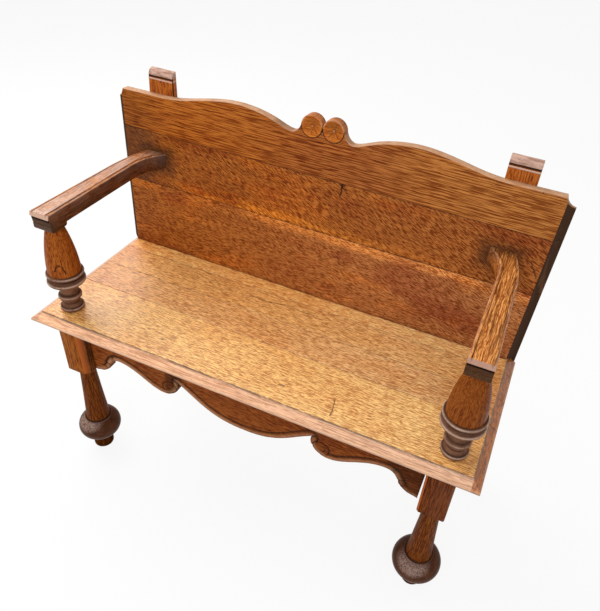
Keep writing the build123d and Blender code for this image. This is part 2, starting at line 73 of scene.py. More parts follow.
class SettleSeatSizes(bpy.types.PropertyGroup):
    face_half: bpy.props.FloatProperty(
        name="Half Face Length", description="From the middle of the seat to the top of its end bevel",
        default=0.5, unit="LENGTH")
    front_bevel: bpy.props.FloatProperty(
        name="Front Bevel", description="How far the front bevel comes out", default=0.018, unit="LENGTH")
    end_bevel: bpy.props.FloatProperty(
        name="End Bevel", description="How far each end bevel comes out", default=0.020, unit="LENGTH")
    bevel_drop: bpy.props.FloatProperty(
        name="Bevel Drop", description="How far the bevel falls", default=0.016, unit="LENGTH")
    joint_gap: bpy.props.FloatProperty(
        name="Joint Gap", description="Open line between two boards", default=0.0004, unit="LENGTH")


class SettleBackSizes(bpy.types.PropertyGroup):
    foot_y: bpy.props.FloatProperty(
        name="Foot Place", description="Where the back's front face meets the seat",
        default=SEAT_LOW.y + 0.363, unit="LENGTH")
    tilt: bpy.props.FloatProperty(
        name="Tilt", description="How far the back leans from upright",
        default=math.radians(3.7), subtype="ANGLE")
    thickness: bpy.props.FloatProperty(
        name="Thickness", description="Thickness of the boards", default=0.021, unit="LENGTH")
    height: bpy.props.FloatProperty(
        name="Height", description="Height of the straight top edge above the seat",
        default=0.401, unit="LENGTH")
    crest_rise: bpy.props.FloatProperty(
        name="Crest Rise", description="Rise of each wave of the crest", default=0.026, unit="LENGTH")
    lobe_radius: bpy.props.FloatProperty(
        name="Roundel Radius", description="Radius of each round lobe", default=0.025, unit="LENGTH")


class SettleArmSizes(bpy.types.PropertyGroup):
    rise: bpy.props.FloatProperty(
        name="Rise", description="Height of the arm's top above the seat", default=0.264, unit="LENGTH")
    thickness: bpy.props.FloatProperty(
        name="Thickness", description="Thickness behind the pad", default=0.036, unit="LENGTH")
    pad: bpy.props.FloatProperty(
        name="Pad Thickness", description="Thickness over the turned support", default=0.044, unit="LENGTH")
    bead: bpy.props.FloatProperty(
        name="Bead Line", description="Distance of the sunk line from the arm's edge",
        default=0.0065, unit="LENGTH")


class SettleApronSizes(bpy.types.PropertyGroup):
    thickness: bpy.props.FloatProperty(
        name="Thickness", description="Thickness of the apron", default=0.020, unit="LENGTH")
    drop: bpy.props.FloatProperty(
        name="Drop", description="Depth of the belly below the seat", default=0.161, unit="LENGTH")
    band: bpy.props.FloatProperty(
        name="Carved Band", description="Width of the rounded band along the lower edge",
        default=0.0155, unit="LENGTH")


class SettleFinish(bpy.types.PropertyGroup):
    seat_colour: bpy.props.FloatVectorProperty(
        name="Seat", description="Honey oak of the seat", size=3, subtype="COLOR", min=0, max=1,
        default=(0.84, 0.455, 0.150))
    seat_rear_colour: bpy.props.FloatVectorProperty(
        name="Rear Seat", description="Deeper oak of the seat's three rear boards",
        size=3, subtype="COLOR", min=0, max=1, default=(0.68, 0.345, 0.125))
    back_colour: bpy.props.FloatVectorProperty(
        name="Back", description="Red-brown oak of the back", size=3, subtype="COLOR", min=0, max=1,
        default=(0.38, 0.118, 0.021))
    frame_colour: bpy.props.FloatVectorProperty(
        name="Frame", description="Oak of the arms, posts and leg blocks",
        size=3, subtype="COLOR", min=0, max=1, default=(0.50, 0.160, 0.028))
    turned_colour: bpy.props.FloatVectorProperty(
        name="Turnings", description="Oak of the columns and cones", size=3, subtype="COLOR", min=0, max=1,
        default=(0.27, 0.068, 0.009))
    # Besides dark wax, this colour paints the painted shade that some pieces keep in their dark layer
    grime_and_shade_colour: bpy.props.FloatVectorProperty(
        name="Grime", description="Dark wax in hollows and joints", size=3, subtype="COLOR", min=0, max=1,
        default=(0.030, 0.014, 0.008))
    # Besides rubbed edges, this colour paints painted highlights, such as on the roundels' upper rims
    wear_colour: bpy.props.FloatVectorProperty(
        name="Wear", description="Rubbed edges", size=3, subtype="COLOR", min=0, max=1,
        default=(0.50, 0.26, 0.15))


class SettleStage(bpy.types.PropertyGroup):
    floor_colour: bpy.props.FloatVectorProperty(
        name="Floor", description="Plain pale floor", size=3, subtype="COLOR", min=0, max=1,
        default=(0.86, 0.86, 0.86))
    focal_pixels: bpy.props.FloatProperty(
        name="Focal Length", description="Focal length over the long side of the picture",
        default=FOCAL_PIXELS / PICTURE_HEIGHT)
    window_strength: bpy.props.FloatProperty(
        name="Window Lamp", description="Power of the large soft lamp in watts", default=20.0)


def settings(name):
    return getattr(bpy.context.scene, "settle_" + name)


# Shapes
def spline(points, start, end, step=0.002):
    """Smooth line through the points, with the given directions at its ends."""
    points = np.array(points, float)
    chords = np.linalg.norm(np.diff(points, axis=0), axis=1)
    count = len(points)
    start = np.array(start, float) / np.linalg.norm(start)
    end = np.array(end, float) / np.linalg.norm(end)
    system = np.zeros((count, count))
    right = np.zeros((count, 2))
    system[0, 0] = system[-1, -1] = 1
    right[0], right[-1] = start, end
    for i in range(1, count - 1):
        before, after = chords[i - 1], chords[i]
        system[i, i - 1:i + 2] = after, 2 * (before + after), before
        right[i] = 3 * (after * (points[i] - points[i - 1]) / before
                        + before * (points[i + 1] - points[i]) / after)
    slopes = np.linalg.solve(system, right)
    line = []
    for i in range(count - 1):
        pieces = max(2, int(chords[i] / step))
        for t in np.arange(pieces) / pieces:
            a, b = 2 * t**3 - 3 * t**2 + 1, t**3 - 2 * t**2 + t
            c, d = 3 * t**2 - 2 * t**3, t**3 - t**2
            line.append(a * points[i] + b * chords[i] * slopes[i]
                        + c * points[i + 1] + d * chords[i] * slopes[i + 1])
    line.append(points[-1])
    return np.array(line)


def through(a, b, c, count=12):
    """Points on the arc from a through b to c."""
    a, b, c = (np.array(p, float) for p in (a, b, c))
    left = np.array([b - a, c - a]) * 2
    right = np.array([b @ b - a @ a, c @ c - a @ a])
    centre = np.linalg.solve(left, right)
    angles = [math.atan2(*(p - centre)[::-1]) for p in (a, b, c)]
    sweep = (angles[2] - angles[0]) % math.tau
    if (angles[1] - angles[0]) % math.tau > sweep:
        sweep -= math.tau
    radius = np.linalg.norm(a - centre)
    turn = angles[0] + sweep * np.linspace(0, 1, count)
    return np.stack([centre[0] + radius * np.cos(turn), centre[1] + radius * np.sin(turn)], axis=1)


def joined(*runs):
    """One open line from several, without doubled points."""
    line = []
    for run in runs:
        for point in run:
            if not line or math.dist(line[-1], point) > 1e-6:
                line.append((float(point[0]), float(point[1])))
    return np.array(line)


def softened(line, radius, closed=False):
    """The line with each sharp corner taken off by a small curve."""
    line = np.array(line, float)
    count = len(line)
    result = []
    for i in range(count):
        here = line[i]
        if not closed and i in (0, count - 1):
            result.append(here)
            continue
        before, after = line[i - 1] - here, line[(i + 1) % count] - here
        long_before, long_after = np.linalg.norm(before), np.linalg.norm(after)
        turn = math.acos(max(-1, min(1, before @ after / (long_before * long_after))))
        if turn > math.radians(155):
            result.append(here)
            continue
        cut = min(radius, long_before * 0.4, long_after * 0.4)
        a, b = here + before / long_before * cut, here + after / long_after * cut
        for t in (0, 0.33, 0.67, 1):
            result.append((1 - t) ** 2 * a + 2 * t * (1 - t) * here + t * t * b)
    return np.array(result)


def inset(loop, distance):
    """The closed loop moved inwards by a distance."""
    after = np.roll(loop, -1, axis=0) - loop
    after /= np.linalg.norm(after, axis=1)[:, None]
    before = np.roll(after, 1, axis=0)
    area = np.sum(loop[:, 0] * np.roll(loop[:, 1], -1) - loop[:, 1] * np.roll(loop[:, 0], -1))
    sign = 1 if area > 0 else -1
    normal = np.stack([-(before + after)[:, 1], (before + after)[:, 0]], axis=1) * sign
    normal /= np.linalg.norm(normal, axis=1)[:, None]
    first = np.stack([-before[:, 1], before[:, 0]], axis=1) * sign
    stretch = np.clip(np.sum(normal * first, axis=1), 0.5, 1)
    return loop + normal * (distance / stretch)[:, None]


def smooth_share(value, low, high):
    """0 up to low, and softly up to 1 at high."""
    t = np.clip((np.asarray(value, float) - low) / (high - low), 0, 1)
    return t * t * (3 - 2 * t)


def faded(value, low, high):
    """1 up to low, and softly down to 0 at high."""
    return 1 - smooth_share(value, low, high)


def peak(value, place, width):
    """1 at a place, dying away on both sides of it."""
    return np.exp(-((value - place) / width) ** 2)


def strongest(*layers):
    """The highest of several layers at each point."""
    return np.maximum.reduce(layers)


def between(first, second):
    """Quads that join two closed rows of point numbers."""
    count = len(first)
    return [[first[(k + 1) % count], first[k], second[k], second[(k + 1) % count]] for k in range(count)]


def border(number):
    """The point numbers round the edge of a grid."""
    return list(number[0, :]) + list(number[1:, -1]) + list(number[-1, -2::-1]) + list(number[-2:0:-1, 0])


def new_piece(name, points, faces, materials, replaces=(), wear=None, grime_and_shade=None, face_material=None,
              angle=38):
    """A mesh piece that rides on the frame, with its worn edges and painted highlights, and its dark wax and
    painted shade, kept per point.
    """
    mesh = bpy.data.meshes.new(name)
    mesh.from_pydata([tuple(p) for p in points], [], [tuple(f) for f in faces])
    for label, values in (("wear", wear), ("grime_and_shade", grime_and_shade)):
        layer = mesh.attributes.new(label, "FLOAT", "POINT")
        values = np.zeros(len(points)) if values is None else values
        layer.data.foreach_set("value", np.asarray(values, np.float32))
    for material in materials:
        mesh.materials.append(material)
    if face_material is not None:
        mesh.polygons.foreach_set("material_index", np.asarray(face_material, np.int32))
    mesh.polygons.foreach_set("use_smooth", np.ones(len(faces), bool))
    mesh.validate()
    mesh.set_sharp_from_angle(angle=math.radians(angle))
    piece = bpy.data.objects.new(name, mesh)
    bpy.context.scene.collection.objects.link(piece)
    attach(piece, "root")
    if replaces:
        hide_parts(*replaces)
    return piece


def turned(profile, centre, segments=96):
    """Points, quads and distance along the profile of a turned piece. The profile is (radius, height)."""
    points, faces, along = [], [], []
    rows = []
    for radius, height in profile:
        if radius < 1e-5:
            rows.append([len(points)] * segments)
            points.append((centre[0], centre[1], height))
            along.append(height)
            continue
        row = []
        for k in range(segments):
            turn = math.tau * k / segments
            row.append(len(points))
            points.append((centre[0] + radius * math.cos(turn), centre[1] + radius * math.sin(turn), height))
            along.append(height)
        rows.append(row)
    for lower, upper in zip(rows[:-1], rows[1:]):
        for k in range(segments):
            n = (k + 1) % segments
            corners = [lower[k], lower[n], upper[n], upper[k]]
            kept = [c for i, c in enumerate(corners) if c not in corners[:i]]
            if len(kept) > 2:
                faces.append(kept)
    return np.array(points), faces, np.array(along)


def prism(loop, stations, place):
    """A closed loop carried through stations of (offset, inset), with flat ends.

    place(offset, p, q) gives a point.
    """
    points, faces = [], []
    count = len(loop)
    for offset, shrink in stations:
        ring = inset(loop, shrink) if shrink else loop
        points.extend(place(offset, p, q) for p, q in ring)
    rows = [range(s * count, (s + 1) * count) for s in range(len(stations))]
    for lower, upper in zip(rows, rows[1:]):
        faces += between(upper, lower)
    faces += [list(rows[0])[::-1], list(rows[-1])]
    return np.array(points, float), faces


def rounded_stations(low, high, radius, between_them=()):
    """Stations from low to high, with both edges rounded and plain stations between them."""
    steps = [(radius * (1 - math.cos(a)), radius * (1 - math.sin(a))) for a in np.radians((0, 30, 60, 90))]
    first = [(low + out, shrink) for out, shrink in steps]
    last = [(high - out, shrink) for out, shrink in reversed(steps)]
    return first + [(place, 0) for place in between_them] + last


def outward(points, faces):
    """Faces turned so that the closed mesh's volume is positive."""
    total = 0.0
    for face in faces:
        a = points[face[0]]
        for i in range(1, len(face) - 1):
            total += np.dot(a, np.cross(points[face[i]], points[face[i + 1]]))
    return faces if total > 0 else [list(face)[::-1] for face in faces]


# Finishes
class Net:
    """Short ways to add and join shader nodes."""

    def __init__(self, tree):
        self.tree = tree

    def add(self, kind, inputs=None, **options):
        node = self.tree.nodes.new(kind)
        for name, value in options.items():
            setattr(node, name, value)
        for key, value in (inputs or {}).items():
            if isinstance(value, bpy.types.NodeSocket):
                self.tree.links.new(value, node.inputs[key])
            else:
                node.inputs[key].default_value = value
        return node

    def math(self, operation, a, b=0.0, clamp=False):
        return self.add("ShaderNodeMath", {0: a, 1: b}, operation=operation, use_clamp=clamp).outputs[0]

    def times(self, a, b):
        return self.math("MULTIPLY", a, b)

    def plus(self, a, b, clamp=False):
        return self.math("ADD", a, b, clamp)

    def minus(self, a, b, clamp=False):
        return self.math("SUBTRACT", a, b, clamp)

    def most(self, a, b):
        return self.math("MAXIMUM", a, b)

    def size(self, a):
        return self.math("ABSOLUTE", a)

    def vector(self, operation, a, b):
        return self.add("ShaderNodeVectorMath", {0: a, 1: b}, operation=operation).outputs[0]

    def dot(self, a, b):
        return self.add("ShaderNodeVectorMath", {0: a, 1: b}, operation="DOT_PRODUCT").outputs["Value"]

    def parts(self, vector):
        """The x, y and z of a vector."""
        return self.add("ShaderNodeSeparateXYZ", {0: vector}).outputs

    def facing(self):
        return self.add("ShaderNodeNewGeometry").outputs["Normal"]

    def layer(self, name):
        """A value that the mesh keeps at its points."""
        return self.add("ShaderNodeAttribute", attribute_name=name).outputs["Fac"]

    def noise(self, vector, stretch, detail=2.0, roughness=0.5):
        placed = self.vector("MULTIPLY", vector, stretch)
        inputs = {"Vector": placed, "Scale": 1.0, "Detail": detail, "Roughness": roughness}
        return self.add("ShaderNodeTexNoise", inputs).outputs[0]

    def share(self, value, low, high):
        """0 at low and 1 at high, with a soft change between them."""
        inputs = {"Value": value, "From Min": low, "From Max": high}
        return self.add("ShaderNodeMapRange", inputs, interpolation_type="SMOOTHSTEP").outputs[0]

    def mix(self, factor, a, b, blend="MIX"):
        node = self.add("ShaderNodeMix", {0: factor, 6: a, 7: b}, data_type="RGBA", blend_type=blend)
        return node.outputs[2]

    def tinted(self, colour, factors, share=1.0):
        """The colour multiplied by three factors, over a share of the surface."""
        return self.mix(share, colour, tuple(factors) + (1,), "MULTIPLY")


def new_material(name):
    """A material with an empty tree, and the short ways to fill it."""
    material = bpy.data.materials.new(name)
    material.use_nodes = True
    material.node_tree.nodes.clear()
    return material, Net(material.node_tree)


def new_group(name, inputs, outputs):
    """An empty shader group with named sockets. inputs and outputs are (name, kind, default)."""
    group = bpy.data.node_groups.new(name, "ShaderNodeTree")
    for label, kind, default in inputs:
        socket = group.interface.new_socket(name=label, in_out="INPUT", socket_type="NodeSocket" + kind)
        if default is not None:
            socket.default_value = default
    for label, kind in outputs:
        group.interface.new_socket(name=label, in_out="OUTPUT", socket_type="NodeSocket" + kind)
    net = Net(group)
    return group, net, net.add("NodeGroupInput").outputs, net.add("NodeGroupOutput").inputs


def oak_group():
    """Oak figure along the X axis of Position: growth bands, dark grain lines, ray ticks and open pores."""
    if "oak_figure" in bpy.data.node_groups:
        return bpy.data.node_groups["oak_figure"]
    group, net, given, result = new_group(
        "oak_figure",
        [("Position", "Vector", None), ("Light", "Color", (0.6, 0.3, 0.1, 1)),
         ("Middle", "Color", (0.4, 0.2, 0.1, 1)), ("Deep", "Color", (0.2, 0.1, 0.05, 1)),
         ("Waviness", "Float", 0.006), ("Bands", "Float", 60.0),
         ("Lines", "Float", 0.5), ("Rings", "Float", 0.0), ("Fleck", "Float", 0.5), ("Pores", "Float", 0.5),
         ("Contrast", "Float", 1.0), ("Sawn Face", "Vector", (1, 1, 1))],
        [("Color", "Color"), ("Gloss Change", "Float"), ("Height", "Float")])
    position = given["Position"]
    drift = net.minus(net.noise(position, (2.6, 7.0, 7.0), 2.0), 0.5)
    drift = net.times(drift, given["Waviness"])
    ripple = net.minus(net.noise(position, (30.0, 9.0, 9.0), 1.0), 0.5)
    ripple = net.times(ripple, net.times(given["Waviness"], 0.16))
    shift = net.add("ShaderNodeCombineXYZ", {1: net.plus(drift, ripple), 2: drift}).outputs[0]
    # Sawn Face has a 0 for the axis through a flat board, and the figure then stays even and fine on its face
    flowed = net.vector("MULTIPLY", net.vector("ADD", position, shift), given["Sawn Face"])
    across = net.add("ShaderNodeCombineXYZ", {0: 1.1, 1: given["Bands"], 2: given["Bands"]}).outputs[0]
    bands = net.noise(flowed, across, 3.0, 0.62)
    clouds = net.noise(position, (3.2, 9.0, 9.0), 3.0, 0.55)
    lines = net.share(net.noise(flowed, (24.0, 330.0, 330.0), 1.0, 0.6), 0.42, 0.58)
    fine = net.share(net.noise(flowed, (60.0, 480.0, 480.0), 0.0, 0.5), 0.42, 0.58)
    # Year rings seen as long even lines, which stand about 7 mm apart and wander a little
    _, flowed_y, flowed_z = net.parts(flowed)
    ring_place = net.times(net.plus(flowed_y, flowed_z), 930.0)
    ring_shift = net.times(net.noise(flowed, (5.0, 34.0, 34.0), 2.0), 18.0)
    rings = net.math("SINE", net.plus(ring_place, ring_shift))
    rings = net.times(rings, net.share(net.noise(flowed, (14.0, 60.0, 60.0), 2.0), 0.30, 0.60))
    skew = net.add("ShaderNodeMapping", {"Vector": flowed, "Rotation": (0.0, -0.44, 0.0)}).outputs[0]
    ticks = net.share(net.noise(skew, (36.0, 330.0, 330.0), 1.0, 0.5), 0.42, 0.58)
    tick_place = net.share(net.noise(position, (7.0, 16.0, 16.0), 2.0), 0.36, 0.62)
    tone = net.minus(bands, 0.5)
    tone = net.plus(tone, net.times(net.minus(clouds, 0.5), 0.85))
    tone = net.plus(tone, net.times(rings, net.times(given["Rings"], 0.5)))
    drawn = net.plus(net.times(lines, 0.6), net.times(fine, 0.4))
    tone = net.plus(tone, net.times(net.minus(drawn, 0.5), given["Lines"]))
    flecked = net.times(net.minus(ticks, 0.5), given["Fleck"])
    flecked = net.times(flecked, net.plus(net.times(tick_place, 0.7), 0.3))
    tone = net.plus(tone, flecked)
    tone = net.plus(net.times(tone, given["Contrast"]), 0.5, clamp=True)
    colour = net.mix(net.share(tone, 0.05, 0.52), given["Deep"], given["Middle"])
    colour = net.mix(net.share(tone, 0.48, 0.95), colour, given["Light"])
    pore = net.share(net.noise(flowed, (62.0, 400.0, 400.0), 1.0), 0.53, 0.62)
    pore = net.times(pore, given["Pores"])
    colour = net.tinted(colour, (0.56, 0.39, 0.25), pore)
    net.tree.links.new(colour, result["Color"])
    gloss = net.plus(net.times(net.minus(clouds, 0.5), 0.22), net.times(pore, 0.14))
    net.tree.links.new(gloss, result["Gloss Change"])
    height = net.minus(net.times(drawn, 0.5), net.times(pore, 0.5))
    height = net.plus(height, net.times(ticks, 0.2))
    net.tree.links.new(height, result["Height"])
    return group


def mark_group():
    """A dark shake or scratch in the wood from Start to End, with a broken edge."""
    if "oak_mark" in bpy.data.node_groups:
        return bpy.data.node_groups["oak_mark"]
    group, net, given, result = new_group(
        "oak_mark",
        [("Position", "Vector", None), ("Start", "Vector", None), ("End", "Vector", None),
         ("Width", "Float", 0.002)],
        [("Mask", "Float")])
    ragged = net.add("ShaderNodeTexNoise", {"Vector": given["Position"], "Scale": 120.0, "Detail": 2.0})
    wobble = net.vector("SUBTRACT", ragged.outputs["Color"], (0.5, 0.5, 0.5))
    spot = net.vector("ADD", given["Position"], net.vector("MULTIPLY", wobble, (0.007, 0.007, 0.007)))
    away = net.vector("SUBTRACT", spot, given["Start"])
    run = net.vector("SUBTRACT", given["End"], given["Start"])
    share = net.math("DIVIDE", net.dot(away, run), net.dot(run, run), clamp=True)
    nearest = net.add("ShaderNodeVectorMath", {0: run, "Scale": share}, operation="SCALE").outputs[0]
    off = net.vector("SUBTRACT", away, nearest)
    gap = net.add("ShaderNodeVectorMath", {0: off}, operation="LENGTH").outputs["Value"]
    mask = net.share(gap, given["Width"], net.times(given["Width"], 0.3))
    net.tree.links.new(mask, result["Mask"])
    return group


def segments(points, width, strength):
    """Marks along a line of points, one for each stretch of it."""
    return [(start, end, width, strength) for start, end in zip(points, points[1:])]


def with_marks(net, place, colour, marks, dark):
    """The colour with dark marks drawn over it. Each mark is (start, end, width, strength)."""
    total = None
    for start, end, width, strength in marks:
        inputs = {"Position": place, "Start": start, "End": end, "Width": width}
        mark = net.add("ShaderNodeGroup", inputs, node_tree=mark_group())
        mask = net.times(mark.outputs["Mask"], strength)
        total = mask if total is None else net.most(total, mask)
    return net.mix(total, colour, dark)


def age_and_painted_light_group():
    """Age and painted light: rubbed edges and painted highlights, dark wax and painted shade, from the
    piece's own layers, broken up by noise.
    """
    if "oak_age_and_painted_light" in bpy.data.node_groups:
        return bpy.data.node_groups["oak_age_and_painted_light"]
    group, net, given, result = new_group(
        "oak_age_and_painted_light",
        [("Position", "Vector", None), ("Color", "Color", (0.5, 0.3, 0.1, 1)), ("Wear", "Float", 0.0),
         ("Grime", "Float", 0.0), ("Wear Color", "Color", (0.5, 0.3, 0.2, 1)),
         ("Grime Color", "Color", (0.03, 0.015, 0.01, 1)), ("Gloss Change", "Float", 0.0),
         ("Roughness", "Float", 0.4)],
        [("Color", "Color"), ("Roughness", "Float")])
    speckle = net.noise(given["Position"], (160.0, 160.0, 160.0), 3.0, 0.65)
    patches = net.noise(given["Position"], (22.0, 22.0, 22.0), 2.0)
    uneven = net.plus(net.times(speckle, 0.55), net.times(patches, 0.75))
    wear = net.times(given["Wear"], net.share(uneven, 0.38, 0.78))
    grime_and_shade = net.times(given["Grime"], net.share(uneven, 0.30, 0.72))
    grime_and_shade = net.most(grime_and_shade, net.share(given["Grime"], 0.62, 1.0))
    colour = net.mix(wear, given["Color"], given["Wear Color"])
    colour = net.mix(grime_and_shade, colour, given["Grime Color"])
    net.tree.links.new(colour, result["Color"])
    rough = net.plus(given["Roughness"], given["Gloss Change"])
    rough = net.plus(rough, net.times(grime_and_shade, 0.20))
    rough = net.minus(rough, net.times(wear, 0.06), clamp=True)
    net.tree.links.new(rough, result["Roughness"])
    return group


def toned(colour, factor=1.0):
    return tuple(min(1.0, c * factor) for c in colour[:3]) + (1.0,)


def scaled(colour, factors):
    """Each part of a colour times its own factor."""
    return [c * factor for c, factor in zip(colour, factors)]


def stained(colour, factor):
    """A lighter or darker tone of a stained wood: the darker, the redder."""
    return tuple(min(1.0, c * factor**power) for c, power in zip(colour[:3], (0.72, 1.05, 1.4))) + (1.0,)


# How the grain is turned to run along each axis, and how far each seed moves the pattern
GRAIN_TURNS = {"x": (0, 0, 0), "y": (0, 0, -math.pi / 2), "z": (0, math.pi / 2, 0)}
SEED_STEPS = (1, 0.37, 0.61)
SAWN_FLAT, SAWN_UPRIGHT = (1, 1, 0), (1, 0, 1)
GRAIN_RELIEF = 0.0006


def oak(name, colour, grain="x", seed=0.0, light=1.35, deep=0.55, roughness=0.42, bump=0.25, wear=0.6,
        wear_colour=None, extra=None, gloss=0.35, fineness=(1, 1, 1), **figure):
    """An oak finish. extra(net, position, colour) may paint marks over the figure."""
    if name in bpy.data.materials:
        return bpy.data.materials[name]
    finish = settings("finish")
    material, net = new_material(name)
    place = net.add("ShaderNodeTexCoord").outputs["Object"]
    turned_place = net.add("ShaderNodeMapping", {
        "Vector": place, "Rotation": GRAIN_TURNS[grain], "Location": [seed * step for step in SEED_STEPS]})
    along_grain = net.vector("MULTIPLY", turned_place.outputs[0], fineness)
    inputs = {"Position": along_grain, "Light": stained(colour, light), "Middle": toned(colour),
              "Deep": stained(colour, deep)}
    inputs.update({key.replace("_", " ").title(): value for key, value in figure.items()})
    wood = net.add("ShaderNodeGroup", inputs, node_tree=oak_group())
    painted = extra(net, place, wood.outputs["Color"]) if extra else wood.outputs["Color"]
    # The piece's own layers hold rubbed edges and dark wax, and in places painted highlights and painted
    # shade
    aged_and_lit = net.add("ShaderNodeGroup", {
        "Position": place, "Color": painted, "Wear": net.times(net.layer("wear"), wear),
        "Grime": net.layer("grime_and_shade"), "Wear Color": toned(wear_colour or finish.wear_colour),
        "Grime Color": toned(finish.grime_and_shade_colour), "Gloss Change": wood.outputs["Gloss Change"],
        "Roughness": roughness}, node_tree=age_and_painted_light_group())
    relief = net.add("ShaderNodeBump", {
        "Strength": bump, "Distance": GRAIN_RELIEF, "Height": wood.outputs["Height"]})
    shader = net.add("ShaderNodeBsdfPrincipled", {
        "Base Color": aged_and_lit.outputs["Color"], "Roughness": aged_and_lit.outputs["Roughness"],
        "Normal": relief.outputs[0], "IOR": 1.45, "Specular IOR Level": gloss})
    net.add("ShaderNodeOutputMaterial", {0: shader.outputs[0]})
    return material


def steel():
    """Dull old steel for the screws."""
    if "steel_screw_old" in bpy.data.materials:
        return bpy.data.materials["steel_screw_old"]
    material, net = new_material("steel_screw_old")
    place = net.add("ShaderNodeTexCoord").outputs["Object"]
    stain = net.noise(place, (700.0, 700.0, 700.0), 4.0, 0.6)
    colour = net.mix(net.share(stain, 0.42, 0.66), (0.30, 0.28, 0.26, 1), (0.12, 0.07, 0.045, 1))
    rough = net.plus(net.times(stain, 0.4), 0.3)
    relief = net.add("ShaderNodeBump", {"Strength": 0.3, "Distance": 0.0002, "Height": stain})
    shader = net.add("ShaderNodeBsdfPrincipled", {
        "Base Color": colour, "Roughness": rough, "Metallic": 0.85, "Normal": relief.outputs[0]})
    net.add("ShaderNodeOutputMaterial", {0: shader.outputs[0]})
    return material


# Seat
SEAT_SUNK = 0.02 * MM
QUIRK_DROP, BEVEL_SWELL = 1.3 * MM, 1.44 * MM
CLOSE_EDGE = 6 * MM
SAME_PLACE = 1e-7


def bevel_fall(share, drop):
    """How far the moulded edge lies below the top at a share of its way out, from 0 at the arris to 1."""
    slope = QUIRK_DROP + (drop - QUIRK_DROP) * share + BEVEL_SWELL * share * (1 - share)
    return np.where(share <= 0, 0.0, slope)


def edge_stations(out):
    """Distances from the arris, out over the bevel first, then into the face."""
    bevel = [out, out - 0.35 * MM, out * 0.75, out * 0.5, out * 0.25, 0.7 * MM, 0.12 * MM]
    return np.array(bevel + [0.0, -0.25 * MM, -0.8 * MM, -2.2 * MM, -CLOSE_EDGE])


def moulded_fall(out, width, drop):
    """The bevel beyond an arris, and the eased arris itself."""
    bevel = np.where(out > SAME_PLACE, bevel_fall(out / width, drop), 0)
    return np.maximum(bevel, 0.45 * MM * smooth_share(-np.abs(out + 0.1 * MM), -0.9 * MM, 0))


def seat_board(name, front, rear, material, moulded=False):
    """One board of the seat, with mitred bevels and eased edges."""
    seat = settings("seat")
    gap = seat.joint_gap / 2
    plain = np.linspace(0, seat.face_half - CLOSE_EDGE, 44)[:-1]
    half = np.concatenate([seat.face_half + edge_stations(seat.end_bevel), plain[::-1]])
    xs = np.concatenate([-half, half[-2::-1]])
    joint = np.array([0.0, 0.25, 0.7, 2.0, 5.0]) * MM
    front_rows = front + gap + joint
    if moulded:
        front_rows = front + seat.front_bevel - edge_stations(seat.front_bevel)
    rear_rows = (rear - gap - joint)[::-1]
    start = front_rows[-1]
    inner = np.linspace(start, rear_rows[0], max(4, int((rear_rows[0] - start) / (9 * MM))))[1:-1]
    ys = np.concatenate([front_rows, inner, rear_rows])
    gx, gy = np.meshgrid(xs, ys)
    end_out = np.abs(gx) - seat.face_half
    fall = moulded_fall(end_out, seat.end_bevel, seat.bevel_drop)
    front_out = np.full_like(gy, -1.0)
    seam = rear - gap - gy
    if moulded:
        front_out = front + seat.front_bevel - gy
        fall = np.maximum(fall, moulded_fall(front_out, seat.front_bevel, seat.bevel_drop))
    else:
        seam = np.minimum(seam, gy - front - gap)
    fall = fall + 0.7 * MM * faded(seam, 0, 1.1 * MM)
    # Planed by hand, the face is a little uneven
    waves = np.sin(gx * 9.0 + front * 40) * np.sin(gy * 31.0 + 1.3)
    fall = fall + 0.25 * MM * waves * smooth_share(-end_out, 0.01, 0.06)
    rows, columns = gx.shape
    top = np.stack([gx, gy, SEAT_TOP - SEAT_SUNK - np.maximum(fall, 0)], axis=-1).reshape(-1, 3)
    number = np.arange(rows * columns).reshape(rows, columns)
    faces = []
    for r in range(rows - 1):
        for c in range(columns - 1):
            a, b, d, e = number[r, c], number[r, c + 1], number[r + 1, c + 1], number[r + 1, c]
            mitre = front_out[r + 1, c] > -7 * MM and abs(gx[r, c]) > seat.face_half - 7 * MM
            if mitre and gx[r, c] > 0:
                faces += [[a, b, e], [b, d, e]]
            elif mitre:
                faces += [[a, b, d], [a, d, e]]
            else:
                faces.append([a, b, d, e])
    ring = border(number)
    points, previous = [top], ring
    for level, (rise, pull) in enumerate(((1.0, 0.0), (0.3, 0.3), (0.0, 1.0))):
        wall = []
        for x, y, _ in top[ring]:
            x -= math.copysign(pull * MM, x) if abs(abs(x) - abs(xs[0])) < SAME_PLACE else 0
            y -= math.copysign(pull * MM, y - (front + rear) / 2) if y in (ys[0], ys[-1]) else 0
            wall.append((x, y, SEAT_UNDER + rise * MM))
        points.append(wall)
        current = [len(top) + level * len(ring) + k for k in range(len(ring))]
        faces += between(previous, current)
        previous = current
    faces.append(previous[::-1])
    points = np.concatenate(points)
    x, y, z = points.T
    arris = np.abs(np.abs(x) - seat.face_half - 0.4 * MM)
    outer = np.abs(x) > seat.face_half + seat.end_bevel - 0.5 * MM
    if moulded:
        arris = np.minimum(arris, np.abs(y - front - seat.front_bevel + 0.4 * MM))
        outer = outer | (y < front + 0.5 * MM)
    seam = np.concatenate([seam.reshape(-1), np.zeros(len(points) - len(top))])
    grime_and_shade = strongest(
        0.92 * faded(arris, 0, 1.3 * MM) * (z > SEAT_TOP - 3 * MM),
        0.45 * faded(seam, 0, 1.0 * MM))
    return new_piece(name, points, outward(points, faces), [material], (name,),
                     0.9 * outer, grime_and_shade, angle=30)


